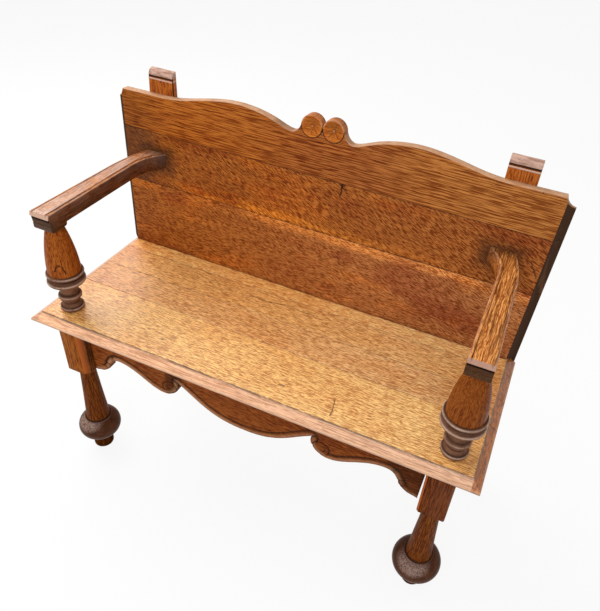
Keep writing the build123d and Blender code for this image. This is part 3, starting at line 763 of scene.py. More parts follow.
# Shakes and small stains of each board: the places they run through, their width and their strength
SEAT_SHAKES = {
    "seat_board_third": [
        ([(-0.1188, 0.0786), (-0.0679, 0.0756)], 0.0022, 0.75),
        ([(-0.0679, 0.0756), (-0.0269, 0.0850)], 0.0024, 0.80),
        ([(-0.0269, 0.0850), (0.0146, 0.0819), (0.0615, 0.0823)], 0.0020, 0.70),
        ([(-0.4611, 0.0048), (-0.4580, 0.0052)], 0.0040, 0.85)],
    "seat_board_front": [
        ([(0.1973, -0.1368), (0.2035, -0.1600)], 0.0024, 0.80),
        ([(0.2035, -0.1600), (0.2057, -0.1826)], 0.0022, 0.75),
        ([(0.0790, -0.1522), (0.0880, -0.1530)], 0.0046, 0.70),
        ([(-0.2115, -0.1499), (-0.2090, -0.1499)], 0.0038, 0.75)],
    "seat_board_second": [([(-0.0154, -0.0530), (-0.0015, -0.0545)], 0.0026, 0.70)],
    "seat_board_rear": [],
}


def seat_shakes(name):
    marks = []
    for places, width, strength in SEAT_SHAKES[name]:
        marks += segments([(x, y, SEAT_TOP) for x, y in places], width, strength)
    return marks


def seat_marks(name, patch, greyed):
    """Deeper orange patches, the paler bevel, shakes and small stains over a seat board, with painted light
    and shade on the bevel.
    """

    def paint(net, place, colour):
        x, _, z = net.parts(place)
        patches = net.share(net.noise(place, (5.0, 11.0, 11.0), 3.0, 0.6), 0.44, 0.66)
        colour = net.tinted(colour, (0.95, 0.76, 0.56), net.times(patches, patch))
        colour = net.tinted(colour, (0.90, 0.66, 0.42), net.times(net.share(net.size(x), 0.36, 0.50), 0.5))
        colour = net.tinted(colour, (1.04, 1.16, 1.42), net.times(net.share(x, -0.05, 0.30), greyed))
        if SEAT_SHAKES[name]:
            colour = with_marks(net, place, colour, seat_shakes(name), (0.13, 0.045, 0.014, 1))
        bevel = net.share(z, SEAT_TOP - 0.9 * MM, SEAT_TOP - 2.2 * MM)
        lines = net.noise(place, (18.0, 420.0, 480.0), 2.0, 0.6)
        # The bevel's pale pink is partly its worn finish and partly a painted reflection
        bevel_pink_and_reflection = net.mix(net.share(lines, 0.36, 0.58), (0.54, 0.26, 0.14, 1), (0.88, 0.51, 0.32, 1))
        dashes = net.share(net.noise(place, (60.0, 620.0, 620.0), 1.0), 0.56, 0.64)
        bevel_pink_and_reflection = net.mix(net.times(dashes, 0.55), bevel_pink_and_reflection, (0.33, 0.13, 0.07, 1))
        # Painted light: the bevel is lighter towards the left and darker towards the right; painted shade
        # darkens the left end bevel
        light = net.mix(net.share(x, -0.5, 0.5), (1.12, 1.09, 1.00, 1), (0.89, 0.88, 0.83, 1))
        bevel_pink_and_reflection = net.mix(1.0, bevel_pink_and_reflection, light, "MULTIPLY")
        bevel_pink_and_reflection = net.tinted(bevel_pink_and_reflection, (0.72, 0.68, 0.68), net.times(net.share(x, -0.5005, -0.5035), 0.9))
        front = net.share(x, 0.5035, 0.5005)
        colour = net.mix(net.times(bevel, front), colour, bevel_pink_and_reflection)
        grain = net.noise(place, (330.0, 60.0, 120.0), 3.0, 0.7)
        end_grain = net.mix(net.share(grain, 0.38, 0.62), (0.21, 0.055, 0.006, 1), (0.48, 0.145, 0.020, 1))
        return net.mix(net.times(bevel, net.minus(1.0, front)), colour, end_grain)

    return paint


class SETTLE_OT_seat(bpy.types.Operator):
    """Build the four seat boards with their moulded edges"""
    bl_idname = "settle.seat"
    bl_label = "Seat Boards"

    def execute(self, context):
        finish = settings("finish")
        front, rear = finish.seat_colour, finish.seat_rear_colour
        rows = (("seat_board_front", front, (1.09, 1.09, 1.09), 0.0, 0.40, 0.5),
                ("seat_board_second", rear, (1.11, 1.11, 1.04), 1.7, 0.50, 1.0),
                ("seat_board_third", rear, (1.18, 1.19, 1.04), 3.1, 0.45, 1.0),
                ("seat_board_rear", rear, (1.53, 1.44, 1.26), 4.9, 0.30, 1.0))
        for name, colour, tone, seed, patch, greyed in rows:
            low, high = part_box(name)
            material = oak(
                name + "_oak", scaled(colour, tone), seed=seed, light=1.25, deep=0.50, roughness=0.30,
                bump=0.3, extra=seat_marks(name, patch, greyed), wear_colour=(0.74, 0.44, 0.26), fleck=0.2,
                pores=0.65, lines=2.7, bands=38.0, sawn_face=SAWN_FLAT, fineness=(1.6, 1.45, 1.45),
                waviness=0.010, gloss=0.6)
            seat_board(name, low.y, high.y, material, moulded=name == "seat_board_front")
        return {"FINISHED"}


# Back
# The crest's rises as shares of its half length and of its height, from the roundels outwards
CREST_SHARES = ((0.172, -0.12), (0.233, 0.10), (0.295, 0.46), (0.363, 0.74), (0.438, 0.93), (0.525, 1.00),
                (0.595, 0.93), (0.733, 0.58), (0.868, 0.17), (1.000, 0.00))
CREST_HALF = 400 * MM
CREST_ROUNDING = 1.7 * MM
EAR_DROP = 22 * MM
COVE_WIDTH, COVE_DEPTH = 18 * MM, 16 * MM
NECK_RISE, LOBE_RISE, LOBE_X = 9 * MM, 18 * MM, 24.6 * MM
FLANK_OUT, FLANK_RISE = 7 * MM, 4 * MM
ROUNDEL_DISH = 5.2 * MM
# The sides lean out from the foot, which stands a little below the seat's top, to the straight top edge
SIDE_FOOT, SIDE_LEAN, SIDE_TOP, FOOT_DEPTH = 516 * MM, 11 * MM, 379 * MM, 5 * MM
EDGE_COLUMNS = 22 * MM
# The old top edge is not quite level: it climbs a little from left to right
CREST_LIFT, CREST_SKEW = 1.2 * MM, 0.007
JOINT_UPS = (180 * MM, 311 * MM)
ARM_JOINT_X, ARM_JOINT_UP, ARM_JOINT_HALF = 418 * MM, 246 * MM, (30 * MM, 18 * MM)


def back_point(across, up, out=0.0):
    """A point on the leaning back from its place across, up and out of the face."""
    back = settings("back")
    lean_sin, lean_cos = math.sin(back.tilt), math.cos(back.tilt)
    return (across, back.foot_y + up * lean_sin - out * lean_cos, SEAT_TOP + up * lean_cos + out * lean_sin)


def side_line(up):
    """Half width of the back at a height."""
    return SIDE_FOOT + SIDE_LEAN * (up + FOOT_DEPTH) / (SIDE_TOP + FOOT_DEPTH)


def crest_curve():
    """Half of the crest line, from the lobe's side out to the straight top edge."""
    back = settings("back")
    waves = [(x * CREST_HALF, back.height + rise * back.crest_rise) for x, rise in CREST_SHARES]
    side = LOBE_X + back.lobe_radius
    flank = through(
        (side, back.height + LOBE_RISE), (side + FLANK_OUT, back.height + FLANK_RISE), waves[0], 20)
    middle = [(0, back.height + NECK_RISE), (LOBE_X, back.height + NECK_RISE)]
    return joined(middle, flank, spline(waves, (1, 0), (1, 0), 1.5 * MM))


def top_line(across):
    """Height of the back's top edge at a place across."""
    back = settings("back")
    uneven = CREST_LIFT + CREST_SKEW * across
    across = abs(across)
    curve = crest_curve()
    ear = across - (SIDE_FOOT + SIDE_LEAN - EAR_DROP)
    if ear <= 0:
        return float(np.interp(across, curve[:, 0], curve[:, 1])) + uneven
    radius = 1.05 * EAR_DROP
    notch = back.height + 1 * MM - math.sqrt(max(radius**2 - (EAR_DROP + 1 * MM - ear) ** 2, 0))
    return min(notch, back.height) + uneven


def cove_fall(edge):
    """Depth of the hollow moulding at a distance in from the leaning side edge."""
    arc = through((0, COVE_DEPTH), (COVE_WIDTH * 0.68, COVE_DEPTH * 0.70), (COVE_WIDTH, 1.5 * MM), 24)
    return np.where(edge < COVE_WIDTH, np.interp(edge, arc[:, 0], arc[:, 1]), 0.0)


def back_grid(low, high):
    """Places across and up, and the height of the top edge, on a grid over one board of the back."""
    back = settings("back")
    crest = high is None
    edge_steps = np.array(
        [0, 0.6, 2, 4, 6.5, 9, 11.5, 13.5, 15.2, 16.6, 17.6, 17.99, 18.01, 18.5, 19.4, 22]) * MM
    reach = side_line((low + (back.height if crest else high)) / 2)
    plain = reach - EDGE_COLUMNS
    shares = np.linspace(-1, 1, 150 if crest else 90)
    if crest:
        # The columns stand closer together at the lobes and at the hollows beside them
        flanks = np.array(
            [36, 42, 45, 46.4, 46.6, 47, 47.8, 49, 50.6, 52.8, 55.6, 59, 63, 66.5, 69, 72, 77, 83])
        flanks = flanks * MM / plain
        close = np.arange(0, 35, 2) * MM / plain
        shares = np.concatenate([shares[np.abs(shares) * plain > 85 * MM], flanks, -flanks, close, -close])
        shares = np.unique(np.round(shares, 6))
    # Each column is a distance from the left or right edge, or a share of the plain width between the coves
    columns = [(-1, e) for e in edge_steps] + [(0, s) for s in shares[1:-1]]
    columns += [(1, e) for e in edge_steps[::-1]]
    low_steps = np.array([0, 0.3, 0.8, 1.8, 5]) * MM
    high_steps = np.array([8, 4.2, 2.6, 1.5, 0.7, 0.2, 0]) * MM if crest else low_steps[::-1]
    rows = 62 if crest else 20
    grid = []
    for side, value in columns:
        across = side * (reach - value) if side else value * plain
        head = top_line(across) if crest else high
        middle = np.linspace(low + low_steps[-1], head - high_steps[0], rows)[1:-1]
        column = []
        for up in np.concatenate([low + low_steps, middle, head - high_steps]):
            lean = side_line(min(up, SIDE_TOP)) - reach
            column.append((across + lean * (side or value), up, head))
        grid.append(column)
    return np.array(grid).transpose(2, 1, 0)


def back_board(name, low, high, material):
    """One board of the back, with eased joints, coved ends and, on the top board, the crest."""
    back, seat = settings("back"), settings("seat")
    crest = high is None
    across, up, head = back_grid(low, high)
    lines, width = across.shape
    across, up, head = across.reshape(-1), up.reshape(-1), head.reshape(-1)
    edge = side_line(np.minimum(up, SIDE_TOP)) - np.abs(across)
    fall = cove_fall(edge) + 0.9 * MM * faded(up - low, 0, 1.0 * MM)
    if crest:
        over = np.clip(CREST_ROUNDING - (head - up), 0, CREST_ROUNDING)
        fall = fall + CREST_ROUNDING - np.sqrt(np.maximum(CREST_ROUNDING**2 - over**2, 0))
        to_lobe = np.hypot(np.abs(across) - LOBE_X, up - back.height - LOBE_RISE)
        fall = fall + ROUNDEL_DISH * faded(to_lobe, back.lobe_radius - 2.8 * MM, back.lobe_radius - 1.4 * MM)
    else:
        fall = fall + 0.9 * MM * faded(high - up, 0, 1.0 * MM)
    waves = 1 + np.sin(across * 7 + low * 50) * np.sin(up * 23 + 0.7)
    fall = fall + 0.175 * MM * waves * smooth_share(edge, 0.03, 0.08)
    front = np.array([back_point(a, u, -f) for a, u, f in zip(across, up, fall)])
    number = np.arange(lines * width).reshape(lines, width)
    faces = [[number[r, c], number[r, c + 1], number[r + 1, c + 1], number[r + 1, c]]
             for r in range(lines - 1) for c in range(width - 1)]
    ring = border(number)
    points, previous = [front], ring
    for level, (rise, pull) in enumerate(((1.2, 0), (0.3, 0.3), (0, 1.2))):
        wall = []
        for index in ring:
            a, u = across[index], up[index]
            a -= math.copysign(pull * MM, a) if edge[index] < 0.1 * MM else 0
            if abs(u - low) < SAME_PLACE:
                u += pull * MM
            elif abs(head[index] - u) < SAME_PLACE:
                u -= pull * MM
            x, y, z = back_point(a, u, rise * MM - back.thickness)
            past = max(abs(a) - seat.face_half, 0) / seat.end_bevel
            if low == 0 and u < 2 * MM:
                z = SEAT_TOP + 0.05 * MM - float(bevel_fall(past, seat.bevel_drop))
            wall.append((x, y, z))
        points.append(wall)
        current = [len(front) + level * len(ring) + k for k in range(len(ring))]
        faces += between(previous, current)
        previous = current
    # The flat rear is closed by upright strips between two side faces
    rear = dict(zip(ring, previous))
    foot_row, head_row, left, right = (
        [rear[n] for n in run] for run in (number[0], number[-1], number[:, 0], number[:, -1]))
    faces += [[foot_row[c], head_row[c], head_row[c + 1], foot_row[c + 1]] for c in range(1, width - 2)]
    faces.append(left + [head_row[1], foot_row[1]])
    faces.append([foot_row[-2], head_row[-2]] + right[::-1])
    points = np.concatenate(points)
    size = len(front)
    wear, grime_and_shade = np.zeros(len(points)), np.full(len(points), 0.15)
    to_joint = up - low if crest else np.minimum(up - low, high - up)
    to_arm = np.maximum(np.abs(np.abs(across) - ARM_JOINT_X) - ARM_JOINT_HALF[0],
                        np.abs(up - ARM_JOINT_UP) - ARM_JOINT_HALF[1])
    # Painted shade: the layer within 30 mm of each arm's joint darkens the board round the arm
    grime_and_shade[:size] = strongest(
        0.9 * faded(to_joint, 0.1 * MM, 1.4 * MM),
        0.3 * (edge < COVE_WIDTH) * smooth_share(edge, 8 * MM, 17 * MM),
        0.95 * faded(np.abs(edge - COVE_WIDTH), 0.2 * MM, 1.6 * MM),
        0.55 * (low == 0) * faded(up, 0, 9 * MM),
        0.72 * faded(to_arm, 0, 30 * MM))
    if crest:
        wear[:size] = 0.8 * faded(head - up, 0.4 * MM, 2.2 * MM)
        # The walls behind the crest are rubbed too, and the flat rear isn't
        at_head = head[ring] - up[ring] < 0.1 * MM
        wear[size:size + 2 * len(ring)] = np.tile(0.5 * at_head, 2)
    piece = new_piece(name, points, outward(points, faces), [material], (name,), wear, grime_and_shade,
                      angle=34)
    # The flat rear is shaded flat: its faces were added last
    for face in list(piece.data.polygons)[-(width - 1):]:
        face.use_smooth = False
    return piece


def roundel(name, side, material):
    """A dished round lobe with a small boss and a fine rim, standing on the crest, with painted shade and a
    painted highlight on its face.
    """
    back = settings("back")
    radius = back.lobe_radius
    boss, rear = -0.55 * ROUNDEL_DISH, 0.05 * MM - back.thickness
    profile = joined(
        [(0, boss + 0.3 * MM), (1.6 * MM, boss + 0.2 * MM)],
        through((1.6 * MM, boss + 0.2 * MM), (2.9 * MM, boss - 0.4 * MM), (3.4 * MM, -ROUNDEL_DISH), 5),
        through((4.4 * MM, -ROUNDEL_DISH), (12 * MM, -ROUNDEL_DISH * 0.66), (21.4 * MM, -0.2 * MM), 12),
        [(22.0 * MM, 0.35 * MM), (radius - 1.9 * MM, 0.55 * MM)],
        through((radius - 1.9 * MM, 0.55 * MM), (radius - 0.5 * MM, 0.0), (radius, -1.5 * MM), 6),
        [(radius, 1 * MM - back.thickness), (radius - 1 * MM, rear), (0, rear)])
    flat, faces, depth = turned(profile, (0, 0))
    points = np.array([back_point(side * LOBE_X + x, back.height + LOBE_RISE + y, out) for x, y, out in flat])
    reach = np.hypot(flat[:, 0], flat[:, 1])
    turn = np.arctan2(flat[:, 1], flat[:, 0])
    face = depth > -5 * MM
    # The spokes are uneven, and differ from one roundel to the other
    spokes = np.clip(0.4 + 0.4 * np.cos(turn * 15 + 0.6 * side) + 0.4 * np.cos(turn * 9 + 1.1), 0, 1) ** 2
    spokes = spokes * faded(reach, 14 * MM, 21 * MM) * (reach > 4 * MM)
    # Painted light: the upper half of the dish and the lower part of the rim get painted shade, and the upper
    # part of the rim a painted highlight
    lower_half = smooth_share(-flat[:, 1], -9 * MM, 3 * MM)
    rim = smooth_share(reach, radius - 2.9 * MM, radius - 2.0 * MM)
    painted_dish_shade = smooth_share(flat[:, 1], -3 * MM, 9 * MM) * faded(reach, 19 * MM, 21.5 * MM)
    hollows_and_painted_shade = strongest(
        0.85 * peak(reach, 4.2 * MM, 1.0 * MM), 0.62 * spokes, rim * lower_half, 0.42 * painted_dish_shade)
    grime_and_shade = np.where(face, hollows_and_painted_shade, 0.45)
    painted_rim_highlight = faded(np.abs(reach - radius + 1.6 * MM), 0.9 * MM, 2.1 * MM) * (1 - lower_half)
    wear = face * strongest(painted_rim_highlight, 0.6 * (reach < 3.2 * MM))
    return new_piece(name, points, outward(points, faces), [material], (), wear, grime_and_shade, angle=50)


# Shakes of each board: from, to, width and strength
BACK_SHAKES = {
    "top": [((0.4582, 0.1752, 0.8836), (0.4605, 0.1747, 0.8760), 0.0018, 0.85)],
    "middle": [
        ((0.0579, 0.1697, 0.7830), (0.0585, 0.1690, 0.7740), 0.0044, 0.95),
        ((0.0585, 0.1690, 0.7740), (0.0555, 0.1668, 0.7552), 0.0030, 0.90),
        ((0.0585, 0.1690, 0.7740), (0.0700, 0.1685, 0.7719), 0.0028, 0.90),
        ((0.0640, 0.1694, 0.7830), (0.0690, 0.1694, 0.7800), 0.0020, 0.70),
        ((0.4792, 0.1653, 0.7306), (0.4994, 0.1631, 0.6964), 0.0022, 0.70)],
    "lower": [],
}


# The wax has faded unevenly: each board's tint at its left and right ends
BACK_TINTS = {
    "top": ((1.12, 0.98, 0.60, 1), (1.16, 1.34, 1.65, 1)),
    "middle": ((1.00, 0.90, 0.70, 1), (1.02, 1.00, 1.15, 1)),
    "lower": ((0.88, 0.82, 0.70, 1), (1.06, 1.25, 2.20, 1)),
}
# How strongly each board shows red-brown stains and glowing patches
STAINS = {"top": 0.0, "middle": 0.75, "lower": 0.75}
GLOWS = {"top": 0.2, "middle": 0.6, "lower": 0.6}


def crest_marks(net, place, colour):
    """The darker middle and left end of the top board."""
    x = net.parts(place)[0]
    middle = net.share(net.size(net.minus(x, 0.03)), 0.24, 0.06)
    colour = net.tinted(colour, (0.80, 0.72, 0.84), net.times(middle, 0.9))
    return net.tinted(colour, (0.74, 0.76, 0.80), net.share(x, -0.36, -0.48))


def seam_glow(net, place, colour, board, up, soft_up):
    """The sapwood at the joint of the lower and middle boards, and painted shade over the middle board's left
    end beside the left arm.
    """
    x = net.parts(place)[0]
    if board == "lower":
        band = net.times(net.share(soft_up, 0.154, 0.165), net.share(up, 0.1795, 0.1780))
        strength = net.share(net.noise(place, (3.0, 1.0, 1.0), 2.0), 0.30, 0.55)
        return net.tinted(colour, (1.95, 2.05, 1.75), net.times(band, net.times(strength, 0.75)))
    band = net.share(soft_up, 0.209, 0.187)
    left = net.times(net.share(x, 0.42, -0.12), net.share(x, -0.40, -0.32))
    colour = net.tinted(colour, (1.70, 1.85, 1.35), net.times(band, net.times(left, 0.85)))
    # Painted shade: the middle board darkens towards its left end, beside the left arm
    dark = net.times(net.share(x, -0.38, -0.47), 0.55)
    return net.mix(dark, colour, toned(settings("finish").grime_and_shade_colour, 1.6))


def crest_wear_and_painted_light(net, place, colour):
    """The pale top edge of the crest, partly rubbed and partly a painted highlight on the faces that look up,
    with one darker knock.
    """
    x, _, z = net.parts(place)
    _, facing_y, facing_z = net.parts(net.facing())
    pale = net.mix(net.share(net.noise(place, (50.0, 90.0, 90.0), 3.0, 0.6), 0.40, 0.66),
                   (0.66, 0.40, 0.23, 1), (0.46, 0.24, 0.11, 1))
    # Painted highlight where the crest's faces look up
    ridge = net.times(net.share(facing_z, 0.30, 0.62), net.share(z, 0.84, 0.86))
    ridge = net.times(ridge, net.share(facing_y, 0.72, 0.50))
    knock = net.share(net.size(net.plus(x, 0.088)), 0.032, 0.020)
    pale = net.mix(net.times(knock, 0.8), pale, (0.12, 0.055, 0.026, 1))
    return net.mix(net.times(ridge, 0.9), colour, pale)


def back_marks(board):
    """Red-brown stains, the bright sapwood line at the joint, small shakes, painted shade at the middle
    board's left end and a painted highlight along the crest, over a back board.
    """

    def paint(net, place, colour):
        x, _, z = net.parts(place)
        up = net.minus(z, SEAT_TOP)
        uneven = net.times(net.minus(net.noise(place, (6.0, 12.0, 12.0), 2.0, 0.5), 0.5), 0.020)
        tint = net.mix(net.share(x, -0.48, 0.48), *BACK_TINTS[board])
        colour = net.mix(1.0, colour, tint, "MULTIPLY")
        stains = net.share(net.noise(place, (4.0, 9.0, 13.0), 3.0, 0.6), 0.50, 0.70)
        colour = net.tinted(colour, (0.66, 0.44, 0.50), net.times(stains, STAINS[board]))
        glow = net.share(net.noise(place, (5.0, 14.0, 17.0), 3.0, 0.6), 0.52, 0.68)
        colour = net.tinted(colour, (1.42, 1.30, 0.95), net.times(glow, GLOWS[board]))
        if board == "top":
            colour = crest_marks(net, place, colour)
        else:
            colour = seam_glow(net, place, colour, board, up, net.plus(up, uneven))
        side = net.plus(net.times(net.plus(up, FOOT_DEPTH), SIDE_LEAN / (SIDE_TOP + FOOT_DEPTH)), SIDE_FOOT)
        edge = net.minus(side, net.size(x))
        rubbed = net.noise(place, (60.0, 60.0, 14.0), 3.0, 0.6)
        hollow = net.mix(net.share(rubbed, 0.50, 0.72), (0.050, 0.022, 0.010, 1), (0.12, 0.055, 0.026, 1))
        colour = net.mix(net.share(edge, COVE_WIDTH + 0.6 * MM, COVE_WIDTH - 0.8 * MM), colour, hollow)
        if board == "top":
            colour = crest_wear_and_painted_light(net, place, colour)
        if BACK_SHAKES[board]:
            colour = with_marks(net, place, colour, BACK_SHAKES[board], (0.020, 0.008, 0.004, 1))
        return colour

    return paint


class SETTLE_OT_back(bpy.types.Operator):
    """Build the three boards of the leaning back and the two roundels"""
    bl_idname = "settle.back"
    bl_label = "Back Boards"

    def execute(self, context):
        base = settings("finish").back_colour
        common = dict(sawn_face=SAWN_UPRIGHT, roughness=0.42, bump=0.4, wear=0.85, waviness=0.012, gloss=0.07)
        boards = (
            ("lower", 0.0, JOINT_UPS[0], 1.05, dict(
                seed=7.3, fleck=2.1, lines=1.9, pores=0.6, fineness=(1.6, 1.5, 1.5), bands=38.0,
                contrast=0.95, light=1.5, deep=0.45)),
            ("middle", *JOINT_UPS, 0.85, dict(
                seed=9.1, fleck=2.9, lines=0.9, pores=0.5, fineness=(1.7, 1.5, 1.5), bands=36.0, light=1.5,
                deep=0.42)),
            ("top", JOINT_UPS[1], None, 0.90, dict(
                seed=11.7, fleck=0.2, lines=1.6, rings=0.9, pores=0.9, fineness=(0.42, 1.2, 1.2), bands=60.0,
                light=1.4, deep=0.42)))
        for board, low, high, tone, figure in boards:
            name = "back_board_" + board
            material = oak(name + "_oak", toned(base, tone), extra=back_marks(board), **figure, **common)
            back_board(name, low, high, material)
        carved = oak("roundel_oak", scaled(base, (1.34, 1.24, 0.90)), seed=15.1, fleck=0.3, lines=0.6,
                     pores=0.5, bands=60.0, contrast=0.8, light=1.4, deep=0.5, **common)
        for side_name, side in SIDES:
            roundel("roundel_" + side_name, side, carved)
        return {"FINISHED"}


# Posts and rails
# Heights of the cap's roll, the fillet and the groove under it, and the bead under those
ROLL_HEIGHT, FILLET_HEIGHT, GROOVE_HEIGHT, BEAD_HEIGHT = 12 * MM, 2.5 * MM, 3.5 * MM, 5 * MM


def cap_marks(roll_foot, line):
    """Greyed cap and pale lines above and below its groove."""

    def paint(net, place, colour):
        z = net.parts(place)[2]
        worn = net.noise(place, (40.0, 160.0, 160.0), 3.0, 0.6)
        grey = net.mix(net.share(worn, 0.35, 0.62), (0.34, 0.20, 0.155, 1), (0.62, 0.42, 0.34, 1))
        cap = net.times(net.share(z, roll_foot - 0.6 * MM, roll_foot + 0.6 * MM), 0.9)
        colour = net.mix(cap, colour, grey)
        off = net.size(net.minus(z, line - 4.4 * MM))
        bead = net.times(net.share(off, 2.4 * MM, 1.2 * MM), 0.85)
        return net.mix(bead, colour, (0.62, 0.44, 0.36, 1))

    return paint


class SETTLE_OT_posts(bpy.types.Operator):
    """Build the two back posts with their rolled caps"""
    bl_idname = "settle.posts"
    bl_label = "Back Posts"

    def execute(self, context):
        back = settings("back")
        foot = back.foot_y + back.thickness / math.cos(back.tilt)
        top = POST_HIGH.z
        # Where the cap's roll, the groove under it and the bead under that start, above the seat's top
        roll = top - SEAT_TOP - ROLL_HEIGHT
        groove_top = roll - FILLET_HEIGHT
        groove_foot = groove_top - GROOVE_HEIGHT
        bead_foot = groove_foot - BEAD_HEIGHT

        def face(height, sunk=0.0):
            return (foot + math.tan(back.tilt) * height + sunk, SEAT_TOP + height)

        cap_front = face(roll)[0]
        runs = [
            [(POST_REAR, 0), (foot, 0), (foot, SEAT_TOP)],
            [face(h) for h in np.linspace(0, bead_foot, 40)],
            through(face(bead_foot), face(bead_foot + 2.5 * MM, -1.4 * MM), face(groove_foot), 8),
            [face(groove_foot, 3 * MM), face(groove_top, 3 * MM)],
            [face(groove_top, 1.5 * MM), face(roll, 1.5 * MM)],
            through(face(roll), (cap_front + (POST_REAR - cap_front) * 0.25, top - 4.2 * MM),
                    (POST_REAR, top - 0.2 * MM), 14),
            [(POST_REAR, h) for h in np.linspace(SEAT_TOP + roll, 20 * MM, 50)],
        ]
        loop = softened(joined(*runs), 0.7 * MM, closed=True)
        half = (POST_HIGH.x - POST_LOW.x) / 2
        line = SEAT_TOP + (groove_foot + groove_top) / 2
        for side_name, side in SIDES:
            name = "back_post_" + side_name
            middle = side * POST_X
            points, faces = prism(loop, rounded_stations(middle - half, middle + half, 1.1 * MM),
                                  lambda x, y, z: (x, y, z))
            x, y, z = points.T
            wear = 0.7 * faded(half - np.abs(x - middle), 0, 1.4 * MM) * smooth_share(z, 0.1, 0.5)
            in_groove = faded(np.abs(z - line), 1.4 * MM, 2.4 * MM) * (y < POST_REAR - 2 * MM)
            grime_and_shade = strongest(0.95 * in_groove, 0.6 * faded(z, 0, 50 * MM))
            material = oak(
                name + "_oak", scaled(settings("finish").frame_colour, (0.82, 0.66, 0.45)), grain="z",
                seed=13 + side, fleck=0.2, pores=0.8, lines=1.0, bands=70.0, roughness=0.45, contrast=1.1,
                bump=0.35, fineness=(1, 1.3, 1.3), gloss=0.04, wear_colour=(0.42, 0.24, 0.15),
                extra=cap_marks(SEAT_TOP + groove_top, line))
            new_piece(name, points, outward(points, faces), [material], (name,), wear, grime_and_shade)
        return {"FINISHED"}


def box_piece(name, material, radius=1.5 * MM):
    """A straight rail with eased edges, over its node's own box."""
    low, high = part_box(name)
    loop = softened([(low.y, low.z), (high.y, low.z), (high.y, high.z), (low.y, high.z)], radius, closed=True)
    stations = rounded_stations(low.x, high.x, radius * 0.7, np.linspace(low.x, high.x, 14)[1:-1])
    points, faces = prism(loop, stations, lambda x, y, z: (x, y, z))
    grime_and_shade = 0.12 + 0.2 * faded(np.abs(points[:, 2] - SEAT_UNDER), 0, 30 * MM)
    return new_piece(name, points, outward(points, faces), [material], (name,), None, grime_and_shade)


def dress(name, material):
    """Give a shown frame node a finish of this scene."""
    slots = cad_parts[name].data.materials
    if not slots:
        slots.append(material)
    for index in range(len(slots)):
        slots[index] = material


class SETTLE_OT_rails(bpy.types.Operator):
    """Build the rails and battens, and finish the hidden blocks, dowels and screws"""
    bl_idname = "settle.rails"
    bl_label = "Rails and Fixings"

    def execute(self, context):
        stained_rail = toned(settings("finish").frame_colour, 0.45)
        rail = dict(fleck=0.6, pores=0.7, roughness=0.55)
        rough = dict(fleck=0.5, pores=0.8, roughness=0.7, bump=0.5)
        along_y = oak("rail_oak", stained_rail, grain="y", seed=21.0, **rail)
        along_x = oak("rear_rail_oak", stained_rail, seed=23.0, **rail)
        bare = oak("bare_oak", (0.34, 0.20, 0.10), seed=25.0, **rough)
        bare_y = oak("bare_oak_batten", (0.32, 0.19, 0.095), grain="y", seed=27.0, **rough)
        for side_name, _ in SIDES:
            box_piece("side_rail_" + side_name, along_y)
        box_piece("rear_rail", along_x)
        for side_name, _ in SIDES:
            box_piece("seat_batten_" + side_name, bare_y)
        for name in ("apron_blocks", "side_rail_blocks", "rail_dowels"):
            dress(name, bare)
        for name in ("batten_screws", "back_board_screws", "arm_screws", "rail_screws"):
            dress(name, steel())
        return {"FINISHED"}


# Arms
ARM_INNER, ARM_OUTER = 427 * MM, 475 * MM
ARM_TAPER, OUTER_SWEEP, INNER_SWEEP = 6 * MM, 22 * MM, 38 * MM
OUTER_BEND, INNER_BEND = 235 * MM, 280 * MM
# The arm's end stands behind the arris of the seat, and its pad reaches back from there
ARM_SET_BACK, PAD_LENGTH = 10 * MM, 48 * MM
LIP_DROP, GROOVE_DROP = 11 * MM, 18 * MM


def swept(y, start, end, edge, sweep):
    """An arm's edge, which leaves its straight line inwards in an arc."""
    run = end - start
    radius = (run**2 + sweep**2) / (2 * sweep)
    past = np.clip(y - start, 0, run)
    return edge - (radius - np.sqrt(radius**2 - past**2))


def arm_edges(y, arris, rear):
    """Places of the inner and outer edges across, at places along the arm."""
    inner = swept(y, arris + INNER_BEND, rear, ARM_INNER, INNER_SWEEP)
    taper = ARM_TAPER * np.clip((y - arris) / OUTER_BEND, -0.1, 1)
    outer = swept(y, arris + OUTER_BEND, rear, ARM_OUTER, OUTER_SWEEP) - taper
    return inner, outer


# The painted shade that darkens each arm's inner cheek, and the grey of its lip
ARM_SHADES = {
    1: ((0.78, 0.68, 0.50), (0.40, 0.225, 0.17, 1)),
    -1: ((0.27, 0.22, 0.26), (0.62, 0.39, 0.27, 1))}


def arm_marks(side, front, lip, groove):
    """Long dark streaks, the greyed lip, and painted shade on the inner cheek, the underside and the end
    block of one arm.
    """
    shade, grey = ARM_SHADES[side]

    def paint(net, place, colour):
        _, y, z = net.parts(place)
        facing_x, facing_y, facing_z = net.parts(net.facing())
        streak = net.share(net.noise(place, (210.0, 8.0, 120.0), 2.0, 0.6), 0.53, 0.60)
        colour = net.mix(net.times(streak, 0.70), colour, (0.125, 0.034, 0.008, 1))
        # Painted shade on the inner cheek
        colour = net.tinted(colour, shade, net.share(net.times(facing_x, -side), 0.4, 0.7))
        # Painted shade on the faces that look down
        under = net.share(facing_z, -0.3, -0.7)
        colour = net.mix(net.times(under, 0.9), colour, (0.045, 0.018, 0.008, 1))
        near = net.share(y, front + 9 * MM, front + 6 * MM)
        high = net.share(z, lip - 0.6 * MM, lip + 0.4 * MM)
        ahead = net.times(net.share(facing_y, -0.3, -0.7), 0.9)
        colour = net.mix(net.times(net.times(near, high), ahead), colour, grey)
        # Painted shade on the end block below the groove
        low = net.share(z, groove + 1.0 * MM, groove - 0.6 * MM)
        end = net.times(net.share(y, front + 26 * MM, front + 5 * MM), 0.85)
        return net.mix(net.times(low, end), colour, (0.070, 0.028, 0.011, 1))

    return paint


